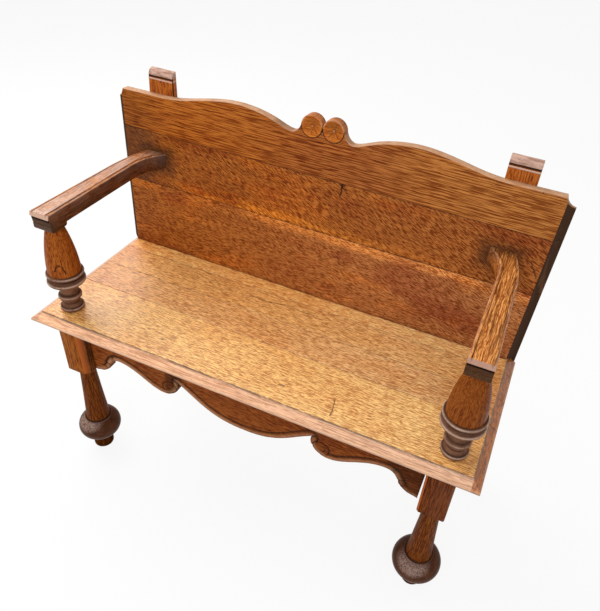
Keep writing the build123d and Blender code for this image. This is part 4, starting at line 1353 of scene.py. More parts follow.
class SETTLE_OT_arms(bpy.types.Operator):
    """Build the two shaped arms with their sunk lines and grooved ends"""
    bl_idname = "settle.arms"
    bl_label = "Arms"

    def execute(self, context):
        arm, back = settings("arm"), settings("back")
        top = SEAT_TOP + arm.rise
        lip, groove, pad_under, under = (
            top - LIP_DROP, top - GROOVE_DROP, top - arm.pad, top - arm.thickness)
        arris = SEAT_LOW.y + settings("seat").front_bevel
        front = arris + ARM_SET_BACK
        pad_end = front + PAD_LENGTH
        rear = back.foot_y + back.thickness / math.cos(back.tilt)
        wall = back.foot_y + math.tan(back.tilt) * (arm.rise - arm.thickness)
        bend = wall - 120 * MM
        ys = np.concatenate([np.linspace(pad_end, bend, 18)[1:], np.linspace(bend, wall + 2 * MM, 26)[1:]])
        # The outline as seen from the side: the top, the lip, the groove, the nose, the pad and the underside
        nose = [(4.2, top), (3.0, top - 0.5 * MM), (0.9, lip + 3.5 * MM), (0.4, lip + 1 * MM),
                (0.9, lip + 0.1 * MM), (7, lip), (7, groove), (4.6, groove - 0.1 * MM),
                (4, groove - 0.9 * MM), (4, groove - 8 * MM), (5.2, groove - 9 * MM),
                (5.2, groove - 10 * MM), (4, groove - 11 * MM)]
        loop = [(y, top) for y in ys[::-1]] + [(y, top) for y in np.linspace(pad_end, front + 9 * MM, 7)]
        groove_points = range(len(loop) + 5, len(loop) + 8)
        loop += [(front + out * MM, z) for out, z in nose]
        loop += list(through((front + 4 * MM, pad_under + 6 * MM), (front + 5.8 * MM, pad_under + 1.8 * MM),
                             (front + 10 * MM, pad_under), 6))
        loop += [(y, pad_under) for y in np.linspace(front + 14 * MM, pad_end - 6 * MM, 6)]
        loop += list(through((pad_end - 6 * MM, pad_under), (pad_end - 1.8 * MM, pad_under + 1.8 * MM),
                             (pad_end, pad_under + 6 * MM), 6))[1:]
        loop += [(pad_end, under)] + [(y, under) for y in ys]
        loop = np.array(loop)
        count, tail = len(loop), len(ys)
        on_top_line = loop[:, 1] > top - 1e-6
        bead = arm.bead / MM
        stations = [(0, 1.6), (0.35, 0.7), (1.1, 0.15), (2.0, 0), (3.2, 0), (bead - 1.1, 0), (bead - 0.5, 0),
                    (bead + 0.3, 0), (bead + 1.0, 0), (bead + 4, 0)]
        rows = [("inner", offset * MM, shrink * MM) for offset, shrink in stations]
        rows += [("middle", share, 0) for share in (0.4, 0.5, 0.6)]
        rows += [("outer", offset * MM, shrink * MM) for offset, shrink in stations[::-1]]
        shallow = front + 4.4 * MM
        looks = {
            1: dict(colour=scaled(settings("finish").frame_colour, (1.25, 1.52, 2.2)), wear=0.8, gloss=0.08),
            -1: dict(colour=toned(settings("finish").frame_colour, 0.85), wear=1.0, gloss=0.25)}
        for side_name, side in SIDES:
            name = "arm_" + side_name
            points, offsets = [], []
            for kind, offset, shrink in rows:
                ring = inset(loop, shrink) if shrink else loop.copy()
                inner, outer = arm_edges(ring[:, 0], arris, rear)
                if kind == "inner":
                    x, distance, open_share = inner + offset, offset, smooth_share(offset, 1.2 * MM, 2.6 * MM)
                elif kind == "middle":
                    x, distance, open_share = inner + (outer - inner) * offset, 20 * MM, 1.0
                else:
                    x, distance, open_share = outer - offset, offset, smooth_share(offset, 0.4 * MM, 1.2 * MM)
                # The groove across the end stops short of the inner and outer faces
                for k in groove_points:
                    ring[k, 0] = shallow + (ring[k, 0] - shallow) * open_share
                sunk = 1.1 * MM * peak(distance, arm.bead, 0.55 * MM)
                slope = 1.4 * MM * faded(distance, 0, arm.bead)
                z = ring[:, 1] - np.where(on_top_line, sunk + slope, 0)
                points.extend(zip(side * x, ring[:, 0], z))
                offsets.extend([distance] * count)
            points, offsets = np.array(points), np.array(offsets)
            rings = [range(s * count, (s + 1) * count) for s in range(len(rows))]
            faces = []
            for lower, upper in zip(rings, rings[1:]):
                faces += between(upper, lower)
            for ring in (rings[0], rings[-1]):
                # Each long side has quads between the top and the underside, and its shaped end is one face
                side_faces = [[ring[k], ring[k + 1], ring[-2 - k], ring[-1 - k]] for k in range(tail - 1)]
                side_faces.append(list(ring[tail - 1:count - tail + 1]))
                faces += side_faces if ring is rings[-1] else [face[::-1] for face in side_faces]
            y, z = points[:, 1], points[:, 2]
            on_top = z > top - 3.2 * MM
            in_groove = (z < lip + 0.6 * MM) & (z > groove - 0.4 * MM)
            in_groove = in_groove & (y < front + 9 * MM) & (y > front + 1.2 * MM)
            # Painted shade: the groove across the end, the block below it, the end against the back and the
            # underside are darkened; the sunk line on top is dark wax
            grime_and_shade = strongest(
                0.8 * peak(offsets, arm.bead, 0.9 * MM) * on_top,
                1.0 * in_groove,
                0.62 * (z < groove) * faded(y, front + 5 * MM, front + 7 * MM),
                0.65 * smooth_share(y, wall - 30 * MM, wall),
                0.5 * (z < under + 1 * MM))
            # The left arm is rubbed pale on top, most of all towards its end; this pale top is partly a
            # painted sheen
            rubbed = 0.45 + 0.55 * smooth_share(-y, 0.06, 0.19)
            wear = strongest(
                0.6 * peak(offsets, 1.4 * MM, 1.2 * MM) * on_top,
                (side < 0) * rubbed * on_top * (offsets > arm.bead + 1 * MM),
                0.4 * (y < front + 4 * MM) * (z > lip))
            material = oak(
                name + "_oak", grain="y", seed=31 + 2 * side, fleck=0.2, pores=0.9, lines=1.0, bands=120.0,
                roughness=0.36, contrast=1.15, bump=0.3, light=1.5, deep=0.42, fineness=(1, 1.3, 1.3),
                wear_colour=(0.62, 0.40, 0.30), waviness=0.016, extra=arm_marks(side, front, lip, groove),
                **looks[side])
            new_piece(name, points, outward(points, faces), [material], (name,), wear, grime_and_shade,
                      angle=42)
        return {"FINISHED"}


# Turnings
SUPPORT_X, SUPPORT_BACK = 451.3 * MM, 44 * MM
LEG_X, LEG_BACK, BLOCK_HALF, BLOCK_HEIGHT = 446.3 * MM, 38.5 * MM, 30 * MM, 158 * MM
TOE_TOP, BUN_TOP = 46 * MM, 113 * MM
# Heights of the double ring's two rings above the seat, in millimetres
LOW_RING, UP_RING = 85.75, 104.75


def rings(height, lines, width):
    """1 at each of the given heights, dying away above and below them."""
    return strongest(*[peak(height, line, width) for line in lines])


# The curved dark mark low on the front of the left support's cone
CONE_SHAKE = segments(
    [(-0.4429, -0.1863, 0.5960), (-0.4399, -0.1845, 0.6077), (-0.4335, -0.1808, 0.6129),
     (-0.4279, -0.1773, 0.6074), (-0.4260, -0.1761, 0.5989), (-0.4240, -0.1743, 0.5924)], 0.0026, 0.9)


def waxed_below(line, wax, painted_glints=False, shakes=()):
    """Dark wax below a turned line, with painted glints of sheen on the faces that look up and towards the
    front.
    """

    def paint(net, place, colour):
        z = net.parts(place)[2]
        uneven = net.noise(place, (45.0, 45.0, 90.0), 3.0, 0.6)
        coat = net.mix(net.share(uneven, 0.36, 0.66), toned(wax), toned(wax, 1.7))
        colour = net.mix(net.times(net.share(z, line + 0.4 * MM, line - 0.4 * MM), 0.9), colour, coat)
        if painted_glints:
            # Painted highlight: pale glints of sheen where the bun faces up and towards the front
            facing_glint = net.share(net.dot(net.facing(), (-0.10, -0.62, 0.78)), 0.74, 0.985)
            scattered = net.share(net.noise(place, (320.0, 320.0, 320.0), 3.0, 0.7), 0.30, 0.66)
            glint_share = net.times(net.times(facing_glint, scattered), 0.85)
            colour = net.mix(glint_share, colour, (0.38, 0.265, 0.225, 1))
        if shakes:
            colour = with_marks(net, place, colour, shakes, (0.030, 0.010, 0.004, 1))
        return colour

    return paint


def chamfer_painted_light(side):
    """Painted light: the chamfer down the inner front arris of a leg block, lit orange."""

    def paint(net, place, colour):
        lean = net.dot(net.facing(), (-side * math.sqrt(0.5), -math.sqrt(0.5), 0))
        return net.mix(net.share(lean, 0.93, 0.985), colour, (0.42, 0.105, 0.022, 1))

    return paint


class SETTLE_OT_supports(bpy.types.Operator):
    """Turn the two arm supports"""
    bl_idname = "settle.supports"
    bl_label = "Arm Supports"

    def execute(self, context):
        arm = settings("arm")
        head = (arm.rise - arm.pad) / MM
        y = SEAT_LOW.y + settings("seat").front_bevel + SUPPORT_BACK
        # Turned by hand, the two differ: heights move by drop, and radii by swell
        rows = (("right", 1, 0.0, 1.012, 0.74, ()), ("left", -1, 4.2, 0.945, 1.08, CONE_SHAKE))
        for side_name, side, drop, swell, tone, shakes in rows:
            low_ring, up_ring = LOW_RING - drop, UP_RING - drop
            # Radii and heights above the seat, in millimetres: base bead, neck, neck bead, rings and cone
            runs = [
                [(0, -2), (18, -2), (23.4, 0.1)],
                through((23.4, 0.1), (27.5, 7), (25.6, 11.2), 10), [(24.4, 11.6), (24.4, 12.6)],
                through((24.4, 12.6), (23, 14), (21.5, 15), 5),
                through((21.5, 15), (19.3, 22.5), (21.5, 30), 10),
                through((21.5, 30), (27, 37.5), (21.5, 45), 12), [(21, 45.4), (21, 46.4)],
                through((21, 46.4), (20.2, 50), (21, 54), 6),
                spline([(21, 54), (25.5, 66.0), (38.25, low_ring - 5.25)], (0.4, 1), (1, 0.3), 2.0),
                through((38.25, low_ring - 5.25), (43.5, low_ring), (38.6, low_ring + 5.25), 12),
                through((38, low_ring + 5.45), (35.8, low_ring + 10.0), (38, up_ring - 4.5), 8),
                through((38.4, up_ring - 4.25), (42.5, up_ring), (38.6, up_ring + 4.25), 10),
                [(37.7, up_ring + 4.45)],
                through((37.5, up_ring + 4.25), (32.5, (up_ring + head) / 2), (18.5, head), 40),
                [(15, head + 0.5), (0, head + 0.5)],
            ]
            profile = softened(joined(*runs), 0.5) * (MM * swell, MM)
            profile[:, 1] += SEAT_TOP
            name = "arm_support_" + side_name
            points, faces, height = turned(profile, (side * SUPPORT_X, y))
            rise = (height - SEAT_TOP) / MM
            reach = np.hypot(points[:, 0] - side * SUPPORT_X, points[:, 1] - y) / (MM * swell)
            grime_and_shade = strongest(
                0.9 * rings(rise, (12.1, 22.5, 45.9), 1.8),
                0.97 * rings(rise, (low_ring + 10.0,), 3.2),
                0.8 * rings(rise, (up_ring + 4.6, low_ring - 5.25), 1.3),
                0.9 * faded(rise, 0, 1.5),
                0.75 * smooth_share(rise, head - 9, head))
            wear = strongest(
                peak(rise, low_ring + 2.0, 1.5) * (reach > 40),
                peak(rise, up_ring + 2.0, 1.5) * (reach > 39.5),
                peak(rise, 9.4, 1.3) * (reach > 24),
                0.7 * peak(rise, 40.5, 1.3))
            material = oak(
                name + "_oak", toned(settings("finish").turned_colour, tone), grain="z", seed=41.0 + side,
                fleck=0.2, pores=0.6, lines=0.8, bands=75.0, roughness=0.34, light=1.5, deep=0.45, wear=1.0,
                fineness=(1, 1.5, 1.5), gloss=0.05, wear_colour=(0.52, 0.36, 0.28), waviness=0.02,
                extra=waxed_below(SEAT_TOP + (up_ring + 4.4) * MM, (0.115, 0.056, 0.034), shakes=shakes))
            new_piece(name, points, outward(points, faces), [material], (name,), wear, grime_and_shade,
                      angle=46)
        return {"FINISHED"}


def leg_turning(side, y, bun):
    """Points, faces, wear and grime of a leg's turned part: toe, bun and flared column."""
    foot, top = BUN_TOP / MM, (SEAT_UNDER - BLOCK_HEIGHT) / MM
    # Radii and heights in millimetres
    runs = [
        [(0, 0.05), (18, 0.05)], through((19, 0.05), (23.3, 1.7), (25, 6), 6), [(25, 26), (25, 46)],
        through((25, 46), (bun, 78), (33.4, 109.6), 44), [(33.2, 110), (33.4, 111)],
        through((33.4, 111), (32.8, 112.9), (30.8, foot), 4), [(29.6, foot + 0.1)],
        through((29.5, foot + 0.2), (23.3, (foot + top) / 2), (18.5, top), 40),
        [(18.5, top + 3), (0, top + 3)],
    ]
    points, faces, height = turned(softened(joined(*runs), 0.5) * MM, (side * LEG_X, y))
    rise = height / MM
    grime_and_shade = strongest(0.9 * rings(rise, (46.0, 113.4), 1.6), 0.5 * smooth_share(rise, top - 12, top))
    return points, outward(points, faces), peak(rise, 111.4, 1.0), grime_and_shade


def leg_block(side, y, cut_width):
    """Points, faces, rubbed corners and darkening of a leg's square block, more cut off at its inner front
    arris; the inner side's darkening is painted shade.
    """
    low, high, half, chamfer = SEAT_UNDER - BLOCK_HEIGHT, SEAT_UNDER, BLOCK_HALF, 2.5 * MM
    loop = []
    for cx, cy in ((1, 1), (-1, 1), (-1, -1), (1, -1)):
        corner = np.array((side * LEG_X + cx * half, y + cy * half))
        cut = cut_width if (cx == -side and cy == -1) else chamfer
        cuts = [(0, -cy * cut), (-cx * cut, 0)]
        loop += [corner + step for step in (cuts if cx * cy > 0 else cuts[::-1])]
    loop = softened(loop, 0.8 * MM, closed=True)
    levels = rounded_stations(low, high, 1.0 * MM, np.linspace(low, high, 16)[1:-1])
    points, faces = prism(loop, levels, lambda z, px, py: (px, py, z))
    x, depth, z = points[:, 0] - side * LEG_X, points[:, 1] - y, points[:, 2]
    to_corner = np.abs(np.abs(x) + np.abs(depth) - 2 * half + chamfer)
    wear = 0.35 * faded(to_corner, 0.2 * MM, 1.5 * MM)
    painted_inner_shade = smooth_share(-side * x, half - 2 * MM, half - 0.5 * MM)
    painted_inner_shade = painted_inner_shade * smooth_share(depth, -half + 3 * MM, -half + 14 * MM)
    # Painted shade on the inner side; darker also towards the top, under the seat, and at the foot
    grime_and_shade = strongest(0.5 * smooth_share(z, high - 20 * MM, high), 0.8 * painted_inner_shade,
                      0.6 * faded(z, low, low + 2 * MM))
    return points, outward(points, faces), wear, grime_and_shade


def leg_finishes(name, side, tone):
    """Finishes of a leg's column, bun, block and toe."""
    finish = settings("finish")
    dark = toned(finish.turned_colour, 0.50)
    common = dict(grain="z", fleck=0.2, waviness=0.02)
    turning = dict(seed=51.0 + side, pores=0.5, bands=60.0, **common)
    scuffed = dict(wear_colour=(0.42, 0.32, 0.27))
    column = oak(name + "_column_oak", dark, lines=0.8, roughness=0.42, light=1.8, deep=0.42, gloss=0.03,
                 fineness=(0.8, 1.5, 1.5), **scuffed, **turning)
    bun = oak(name + "_bun_oak", dark, lines=0.7, roughness=0.30, light=1.7, deep=0.45, gloss=0.06,
              extra=waxed_below(BUN_TOP + 0.2 * MM, (0.052, 0.019, 0.009), painted_glints=True), **scuffed, **turning)
    block = oak(name + "_block_oak", scaled(finish.frame_colour, tone), seed=55.0 + side, pores=0.8,
                lines=0.9, rings=0.5, bands=80.0, roughness=0.46, light=1.6, deep=0.42, gloss=0.03,
                fineness=(0.7, 1.3, 1.3), extra=chamfer_painted_light(side), **common)
    toe = oak(name + "_toe_oak", toned(finish.turned_colour, 0.27), lines=0.8, roughness=0.55, light=1.8,
              deep=0.5, gloss=0.0, fineness=(0.8, 1.5, 1.5), **turning)
    return [column, bun, block, toe]


class SETTLE_OT_legs(bpy.types.Operator):
    """Build the two front legs: square block, flared column, bun and toe"""
    bl_idname = "settle.legs"
    bl_label = "Front Legs"

    def execute(self, context):
        y = SEAT_LOW.y + settings("seat").front_bevel + LEG_BACK
        rows = (("right", 1, 56.5, 4.5 * MM, (0.24, 0.16, 0.12)),
                ("left", -1, 53.0, 12.0 * MM, (0.50, 0.40, 0.16)))
        for side_name, side, bun, cut_width, tone in rows:
            name = "front_leg_" + side_name
            points, faces, wear, grime_and_shade = leg_turning(side, y, bun)
            block, block_faces, block_wear, block_grime_and_shade = leg_block(side, y, cut_width)
            kinds = []
            for face in faces:
                heights = [points[k][2] for k in face]
                in_column = min(heights) > BUN_TOP - 0.05 * MM
                in_toe = max(heights) < TOE_TOP + 0.6 * MM
                kinds.append(0 if in_column else 3 if in_toe else 1)
            kinds += [2] * len(block_faces)
            faces = faces + [[len(points) + k for k in face] for face in block_faces]
            wear, grime_and_shade = np.concatenate([wear, block_wear]), np.concatenate([grime_and_shade, block_grime_and_shade])
            new_piece(name, np.concatenate([points, block]), faces, leg_finishes(name, side, tone),
                      (name,), wear, grime_and_shade, kinds, angle=44)
        return {"FINISHED"}


# Apron
# Points of the right half's lower edge, as shares of the half length and of the drop
BELLY = ((0.122, 0.969), (0.232, 0.857), (0.331, 0.686), (0.405, 0.560))
SCROLL = ((0.402, 0.655), (0.428, 0.790), (0.478, 0.873), (0.548, 0.868), (0.625, 0.780), (0.720, 0.655))
ARCH = ((0.812, 0.602), (0.850, 0.628), (0.874, 0.700), (0.890, 0.800))
BRACKET = ((0.918, 0.875), (0.957, 0.928), (1.000, 0.965))
# Centres of the lobe, the knuckle and the two small wells, as the same shares
LOBE, KNUCKLE, POCKET, HOOK = (0.462, 0.735), (0.905, 0.780), (0.425, 0.545), (0.868, 0.575)
APRON_FOOT_GAP = 6 * MM
APRON_ROUNDING = 1.6 * MM
# In millimetres: the close rows that carry the band, and the start and step of the plain grid inside them
BAND_ROWS = (0.8, 2.2, 4.5, 7.5, 10.5, 12.8, 14.2, 15.5, 16.8, 18.0, 19.6)
GRID_START, GRID_STEP = 2.0, 2.3
# The grid starts this far from the edge, and comes closer to it at two stretches of (place, reach)
GRID_EDGE, NEAR_GRID_EDGE = 21.4 * MM, 1.6 * MM
NEAR_STRETCHES = ((0.42, 0.05), (0.87, 0.04))
# Cut by eye, the pattern stands a little to the left: shares of the half length, and the shift in millimetres
PATTERN_PLACES, PATTERN_SHIFT = (-1, -0.45, 0, 0.45, 1), (0, -8.5, -6.5, -4, 0)


def apron_place(across, drop):
    """A place on the apron's face, from its shares of the half length and of the drop."""
    return np.array((across * (APRON_HIGH.x - APRON_FOOT_GAP), SEAT_UNDER - settings("apron").drop * drop))


def apron_line():
    """Right half of the apron's lower edge, from the middle to the foot of its leaning end."""
    belly, scroll, arch, bracket = (
        [apron_place(*shares) for shares in run] for run in (((0, 1),) + BELLY, SCROLL, ARCH, BRACKET))
    scroll = belly[-1:] + scroll + arch[:1]
    bracket = arch[-1:] + bracket
    return joined(
        spline(belly, (1, 0), (1, 0.55)), spline(scroll, (-0.3, -1), (1, 0)),
        spline(arch, (1, 0), (0.25, -1)), spline(bracket[:-1], (0.6, -1), (1, -0.1)), bracket[-2:])


def distance_to(points, line):
    """Distance from each point to a line of segments."""
    best = np.full(len(points), np.inf)
    for a, b in zip(line[:-1], line[1:]):
        along = b - a
        t = np.clip(((points - a) @ along) / max(along @ along, 1e-12), 0, 1)
        gap = np.linalg.norm(points - a - t[:, None] * along, axis=1)
        best = np.minimum(best, gap)
    return best


def apron_relief(flat, lower):
    """Depth and darkness of the carving and the distance from the edge, on the apron's right half."""
    half, band = APRON_HIGH.x - APRON_FOOT_GAP, settings("apron").band
    edge = distance_to(flat, lower)
    x, z = flat.T
    fade = smooth_share(half * 0.955 - x, 0, 6 * MM)
    line = 2.8 * MM * peak(edge, band, 2.6 * MM) * fade
    field = 1.5 * MM * smooth_share(edge, band, band + 2.2 * MM) * fade
    crown = 1.1 * MM * ((edge - band * 0.5) / (band * 0.5)) ** 2 * (edge < band)
    depth = np.maximum(line, field) + crown
    dark = line / (2.8 * MM)
    lobe, knuckle = apron_place(*LOBE), apron_place(*KNUCKLE)
    for centre, radius, mouth in ((lobe, 19.0 * MM, 0.75), (knuckle, 8.0 * MM, 0.35)):
        reach = np.hypot(x - centre[0], z - centre[1])
        angle = np.arctan2(z - centre[1], x - centre[0])
        swell = 1.6 * MM * np.clip(reach / radius, 0, 1) ** 2.2
        depth = np.where(reach < radius, swell, depth)
        dark = np.where(reach < radius, 0.15, dark)
        # The ring dies away where the band runs into the lobe
        turn = np.abs((angle + math.pi / 2 + 0.25 + math.pi) % math.tau - math.pi)
        ring = peak(reach, radius + 1.1 * MM, 2.0 * MM) * smooth_share(turn, mouth, mouth + 0.4)
        depth, dark = np.maximum(depth, 3.4 * MM * ring), np.maximum(dark, ring)
    curl = peak(np.hypot(x - lobe[0] - 2 * MM, z - lobe[1] - 1 * MM), 8.5 * MM, 1.6 * MM)
    curl = curl * smooth_share(x - lobe[0], -6 * MM, 2 * MM)
    pocket, hook = apron_place(*POCKET), apron_place(*HOOK)
    along, off = (flat - pocket) @ np.array((0.90, 0.42)), (flat - pocket) @ np.array((-0.42, 0.90))
    well = strongest(peak(along, 0, 9 * MM) * peak(off, 0, 3.6 * MM),
                     peak(x, hook[0], 5.0 * MM) * peak(z, hook[1], 5.5 * MM))
    depth = strongest(depth, 2.0 * MM * curl, 6.5 * MM * well)
    dark = strongest(dark, curl / 1.2, np.clip(well * 1.2, 0, 1), 0.25 * faded(edge, 0, 3 * MM))
    rounding = APRON_ROUNDING - np.sqrt(np.maximum(APRON_ROUNDING**2 - (APRON_ROUNDING - edge) ** 2, 0))
    return depth + np.where(edge < APRON_ROUNDING, rounding, 0), dark, edge


def carving_marks(net, place, colour):
    """The lighter band along the carved edge, partly rubbed and partly a painted highlight, and painted shade
    over the bracket and the left scroll's lobe.
    """
    x = net.parts(place)[0]
    # Painted highlight, with some rubbing: the rounded band is paled, more on the left
    strength = net.plus(net.times(net.share(x, 0.02, -0.08), 0.50), 0.30)
    colour = net.mix(net.times(net.layer("wear"), strength), colour, (0.34, 0.155, 0.072, 1))
    # Painted shade over the right bracket and the left scroll's lobe
    bracket = net.share(x, 0.325, 0.350)
    scroll = net.share(net.size(net.plus(x, 0.186)), 0.028, 0.016)
    return net.tinted(colour, (0.42, 0.42, 0.42), net.times(net.most(bracket, scroll), 0.85))


def apron_spots(lower, foot, end_top, low):
    """Places inside the right half of the apron's face: rows along the edge, and a plain grid."""
    tangent = np.gradient(lower, axis=0)
    normal = np.stack([-tangent[:, 1], tangent[:, 0]], axis=1)
    normal /= np.linalg.norm(normal, axis=1)[:, None]
    spots = []
    for distance in BAND_ROWS:
        row = lower + normal * distance * MM
        spots.append(row[distance_to(row, lower) > distance * MM * 0.93])
    grid_x = np.arange(GRID_START, end_top[0] / MM, GRID_STEP) * MM
    grid_z = np.arange(low / MM, end_top[1] / MM, GRID_STEP) * MM
    grid = np.stack(np.meshgrid(grid_x, grid_z), axis=-1).reshape(-1, 2)
    edge, share = distance_to(grid, lower), grid[:, 0] / end_top[0]
    near = strongest(*[np.abs(share - place) < reach for place, reach in NEAR_STRETCHES])
    spots.append(grid[(edge > GRID_EDGE) | ((edge > NEAR_GRID_EDGE) & near)])
    x, z = np.concatenate(spots).T
    inner = (x - foot[0]) * (end_top[1] - foot[1]) < (z - foot[1]) * (end_top[0] - foot[0]) - 2e-7
    inner &= (x > 0.6 * MM) & (z < end_top[1] - 0.6 * MM)
    return np.stack([x, z], axis=1)[inner]


class SETTLE_OT_apron(bpy.types.Operator):
    """Carve the front apron"""
    bl_idname = "settle.apron"
    bl_label = "Carved Apron"

    def execute(self, context):
        apron = settings("apron")
        lower = apron_line()
        low, top, foot = SEAT_UNDER - apron.drop, APRON_HIGH.z, lower[-1]
        end_top = np.array((APRON_HIGH.x, top))
        outline = list(lower)
        outline += [foot + (end_top - foot) * t for t in np.linspace(0, 1, 40)[1:]]
        outline += [np.array((APRON_HIGH.x * (1 - t), top)) for t in np.linspace(0, 1, 160)[1:]]
        outline += [np.array((0.0, top + (low - top) * t)) for t in np.linspace(0, 1, 64)[1:-1]]
        spots = outline + list(apron_spots(lower, foot, end_top, low))
        edges = [(k, (k + 1) % len(outline)) for k in range(len(outline))]
        around = [list(range(len(outline)))]
        found = geometry.delaunay_2d_cdt([Vector(p) for p in spots], edges, around, 1, 1e-7)
        flat = np.array([tuple(p) for p in found[0]])
        triangles = [list(t) for t in found[2]]
        depth, dark, edge = apron_relief(flat, lower)
        # In front and behind, the right half and its mirror share the points on the middle line
        count = len(flat)
        front, rear = APRON_LOW.y, APRON_LOW.y + apron.thickness
        right = np.stack([flat[:, 0], front + depth, flat[:, 1]], axis=1)
        behind = np.stack([flat[:, 0], np.full(count, rear), flat[:, 1]], axis=1)
        points = np.concatenate([right, right * (-1, 1, 1), behind, behind * (-1, 1, 1)])
        points[:, 0] += np.interp(points[:, 0] / APRON_HIGH.x, PATTERN_PLACES, PATTERN_SHIFT) * MM
        faces = []
        for triangle in triangles:
            for part, order in ((0, 1), (1, -1), (2, -1), (3, 1)):
                faces.append([part * count + k for k in triangle[::order]])
        sides = dict.fromkeys(pair for one in triangles for pair in zip(one, one[1:] + one[:1]))
        on_middle = flat[:, 0] < SAME_PLACE
        for a, b in sides:
            if (b, a) not in sides and not (on_middle[a] and on_middle[b]):
                faces.append([b, a, 2 * count + a, 2 * count + b])
                faces.append([count + a, count + b, 3 * count + b, 3 * count + a])
        same = np.arange(4 * count)
        for k in np.flatnonzero(on_middle):
            same[count + k], same[3 * count + k] = k, 2 * count + k
        faces = [[int(same[k]) for k in face] for face in faces]
        used = sorted({k for face in faces for k in face})
        renumbered = {k: i for i, k in enumerate(used)}
        faces = [[renumbered[k] for k in face] for face in faces]
        points = points[used]
        dark = np.concatenate([dark, dark, np.full(2 * count, 0.3)])[used]
        edge = np.concatenate([edge, edge, np.full(2 * count, 1.0)])[used]
        material = oak(
            "front_apron_oak", scaled(settings("finish").frame_colour, (0.40, 0.30, 0.25)), seed=61.0,
            fleck=0.3, pores=0.7, lines=0.9, bands=60.0, light=1.6, deep=0.42, gloss=0.03, wear=0.5,
            wear_colour=(0.50, 0.26, 0.14), sawn_face=SAWN_UPRIGHT, extra=carving_marks)
        # The band's pale layer is partly a painted highlight along the rounded band
        new_piece("front_apron", points, outward(points, faces), [material], ("front_apron",),
                  0.85 * peak(edge, 6.6 * MM, 4.2 * MM), dark, angle=50)
        return {"FINISHED"}


# Stage
CAMERA_PLACE = (0.45243, -0.94440, 1.40536)
CAMERA_RIGHT = (0.917157, 0.390591, 0.079139)
CAMERA_FORWARD = (-0.261580, 0.739818, -0.619876)
# The place where the camera's axis meets the photograph, in pixels from its top left
AXIS_ACROSS, AXIS_DOWN = 331.21, 297.07
FLOOR_REACH, FLOOR_LEVEL = 14.0, -0.0005
# The share of plain white that the camera sees over the floor's shadow
FLOOR_GLOW = 0.88


def seen_share(net):
    """1 where the camera looks, straight or by way of a shiny or clear surface."""
    rays = net.add("ShaderNodeLightPath").outputs
    seen = net.most(rays["Is Camera Ray"], rays["Is Glossy Ray"])
    return net.most(seen, rays["Is Transmission Ray"])


def pale_floor():
    """A plain pale floor that keeps the shadow."""
    mesh = bpy.data.meshes.new("floor")
    corners = ((-1, -1), (1, -1), (1, 1), (-1, 1))
    corners = [(x * FLOOR_REACH, y * FLOOR_REACH, FLOOR_LEVEL) for x, y in corners]
    mesh.from_pydata(corners, [], [(0, 1, 2, 3)])
    floor = bpy.data.objects.new("floor", mesh)
    bpy.context.scene.collection.objects.link(floor)
    material, net = new_material("pale_floor")
    matte = net.add("ShaderNodeBsdfDiffuse", {"Color": toned(settings("stage").floor_colour)})
    glow = net.add("ShaderNodeEmission", {"Color": (1, 1, 1, 1), "Strength": 1.0})
    pale = net.add("ShaderNodeMixShader", {
        0: net.times(seen_share(net), FLOOR_GLOW), 1: matte.outputs[0], 2: glow.outputs[0]})
    net.add("ShaderNodeOutputMaterial", {0: pale.outputs[0]})
    mesh.materials.append(material)


def soft_room():
    """Soft light from all around, and a white background."""
    world = bpy.data.worlds.new("soft_room")
    bpy.context.scene.world = world
    world.use_nodes = True
    net = Net(world.node_tree)
    net.tree.nodes.clear()
    room = net.add("ShaderNodeBackground", {"Color": (1.0, 0.98, 0.96, 1), "Strength": 0.55})
    plain = net.add("ShaderNodeBackground", {"Color": (1, 1, 1, 1), "Strength": 1.0})
    mixed = net.add("ShaderNodeMixShader", {0: seen_share(net), 1: room.outputs[0], 2: plain.outputs[0]})
    net.add("ShaderNodeOutputWorld", {0: mixed.outputs[0]})


def lamp(name, place, aim, size, power, colour):
    """A soft rectangular lamp at a place, turned to its aim."""
    light = bpy.data.lights.new(name, "AREA")
    light.shape = "RECTANGLE"
    light.size, light.size_y = size
    light.energy = power
    light.color = colour
    holder = bpy.data.objects.new(name, light)
    holder.location = place
    holder.rotation_euler = (Vector(aim) - Vector(place)).to_track_quat("-Z", "Y").to_euler()
    bpy.context.scene.collection.objects.link(holder)


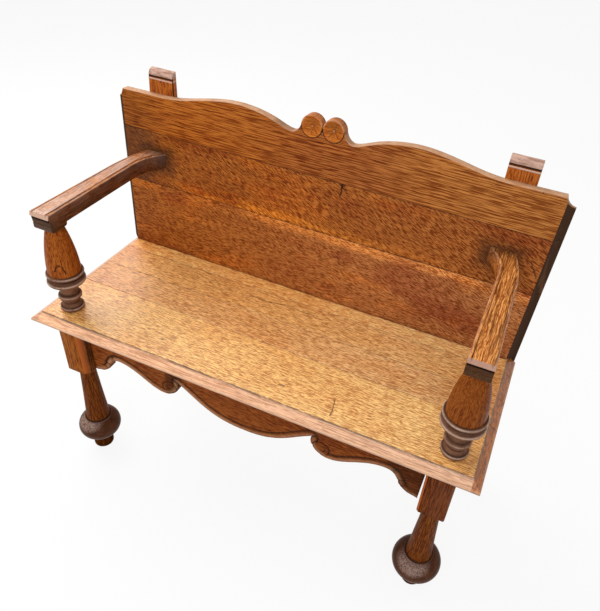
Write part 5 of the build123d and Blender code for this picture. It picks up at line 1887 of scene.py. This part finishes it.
class SETTLE_OT_stage(bpy.types.Operator):
    """Set up the floor, the soft light and the camera"""
    bl_idname = "settle.stage"
    bl_label = "Stage"

    def execute(self, context):
        stage = settings("stage")
        scene = context.scene
        pale_floor()
        soft_room()
        power = stage.window_strength
        lamp("window", (-2.0, 0.4, 3.2), (0, 0, 0.4), (2.6, 2.0), power * 3.4, (1.0, 0.98, 0.95))
        lamp("front_fill", (0.6, -3.0, 2.2), (0, 0, 0.4), (3.0, 2.0), power * 2.4, (0.98, 0.99, 1.0))
        lamp("side_window", (-2.2, 1.7, 2.2), (-0.3, 0, 0.5), (2.0, 1.8), power, (1.0, 0.98, 0.96))
        camera_data = bpy.data.cameras.new("camera")
        camera = bpy.data.objects.new("camera", camera_data)
        forward, right = Vector(CAMERA_FORWARD).normalized(), Vector(CAMERA_RIGHT).normalized()
        up = right.cross(forward).normalized()
        right = forward.cross(up)
        turn = Matrix((right, up, -forward)).transposed().to_4x4()
        camera.matrix_world = Matrix.Translation(CAMERA_PLACE) @ turn
        camera_data.lens = stage.focal_pixels * camera_data.sensor_width
        camera_data.shift_x = (PICTURE_WIDTH / 2 - AXIS_ACROSS) / PICTURE_HEIGHT
        camera_data.shift_y = (AXIS_DOWN - PICTURE_HEIGHT / 2) / PICTURE_HEIGHT
        camera_data.clip_start, camera_data.clip_end = 0.01, 100
        scene.collection.objects.link(camera)
        scene.camera = camera
        scene.view_settings.view_transform = "Standard"
        return {"FINISHED"}


class SETTLE_PT_panel(bpy.types.Panel):
    bl_label = "Oak Hall Settle"
    bl_idname = "SETTLE_PT_panel"
    bl_space_type = "VIEW_3D"
    bl_region_type = "UI"
    bl_category = "Settle"

    def draw(self, context):
        for group, _ in GROUPS:
            box = self.layout.box()
            for key in getattr(context.scene, "settle_" + group).__annotations__:
                box.prop(getattr(context.scene, "settle_" + group), key)
        for operator in OPERATORS:
            self.layout.operator(operator.bl_idname)


GROUPS = (("seat", SettleSeatSizes), ("back", SettleBackSizes), ("arm", SettleArmSizes),
          ("apron", SettleApronSizes), ("finish", SettleFinish), ("stage", SettleStage))
OPERATORS = (SETTLE_OT_seat, SETTLE_OT_back, SETTLE_OT_posts, SETTLE_OT_rails, SETTLE_OT_arms,
             SETTLE_OT_supports, SETTLE_OT_legs, SETTLE_OT_apron, SETTLE_OT_stage)


def register():
    for name, group in GROUPS:
        bpy.utils.register_class(group)
        setattr(bpy.types.Scene, "settle_" + name, bpy.props.PointerProperty(type=group))
    for item in OPERATORS + (SETTLE_PT_panel,):
        bpy.utils.register_class(item)


def unregister():
    for item in reversed(OPERATORS + (SETTLE_PT_panel,)):
        bpy.utils.unregister_class(item)
    for name, group in reversed(GROUPS):
        delattr(bpy.types.Scene, "settle_" + name)
        bpy.utils.unregister_class(group)


def main():
    register()
    for operator in OPERATORS:
        group, name = operator.bl_idname.split(".")
        getattr(getattr(bpy.ops, group), name)()


if __name__ == "__main__":
    main()
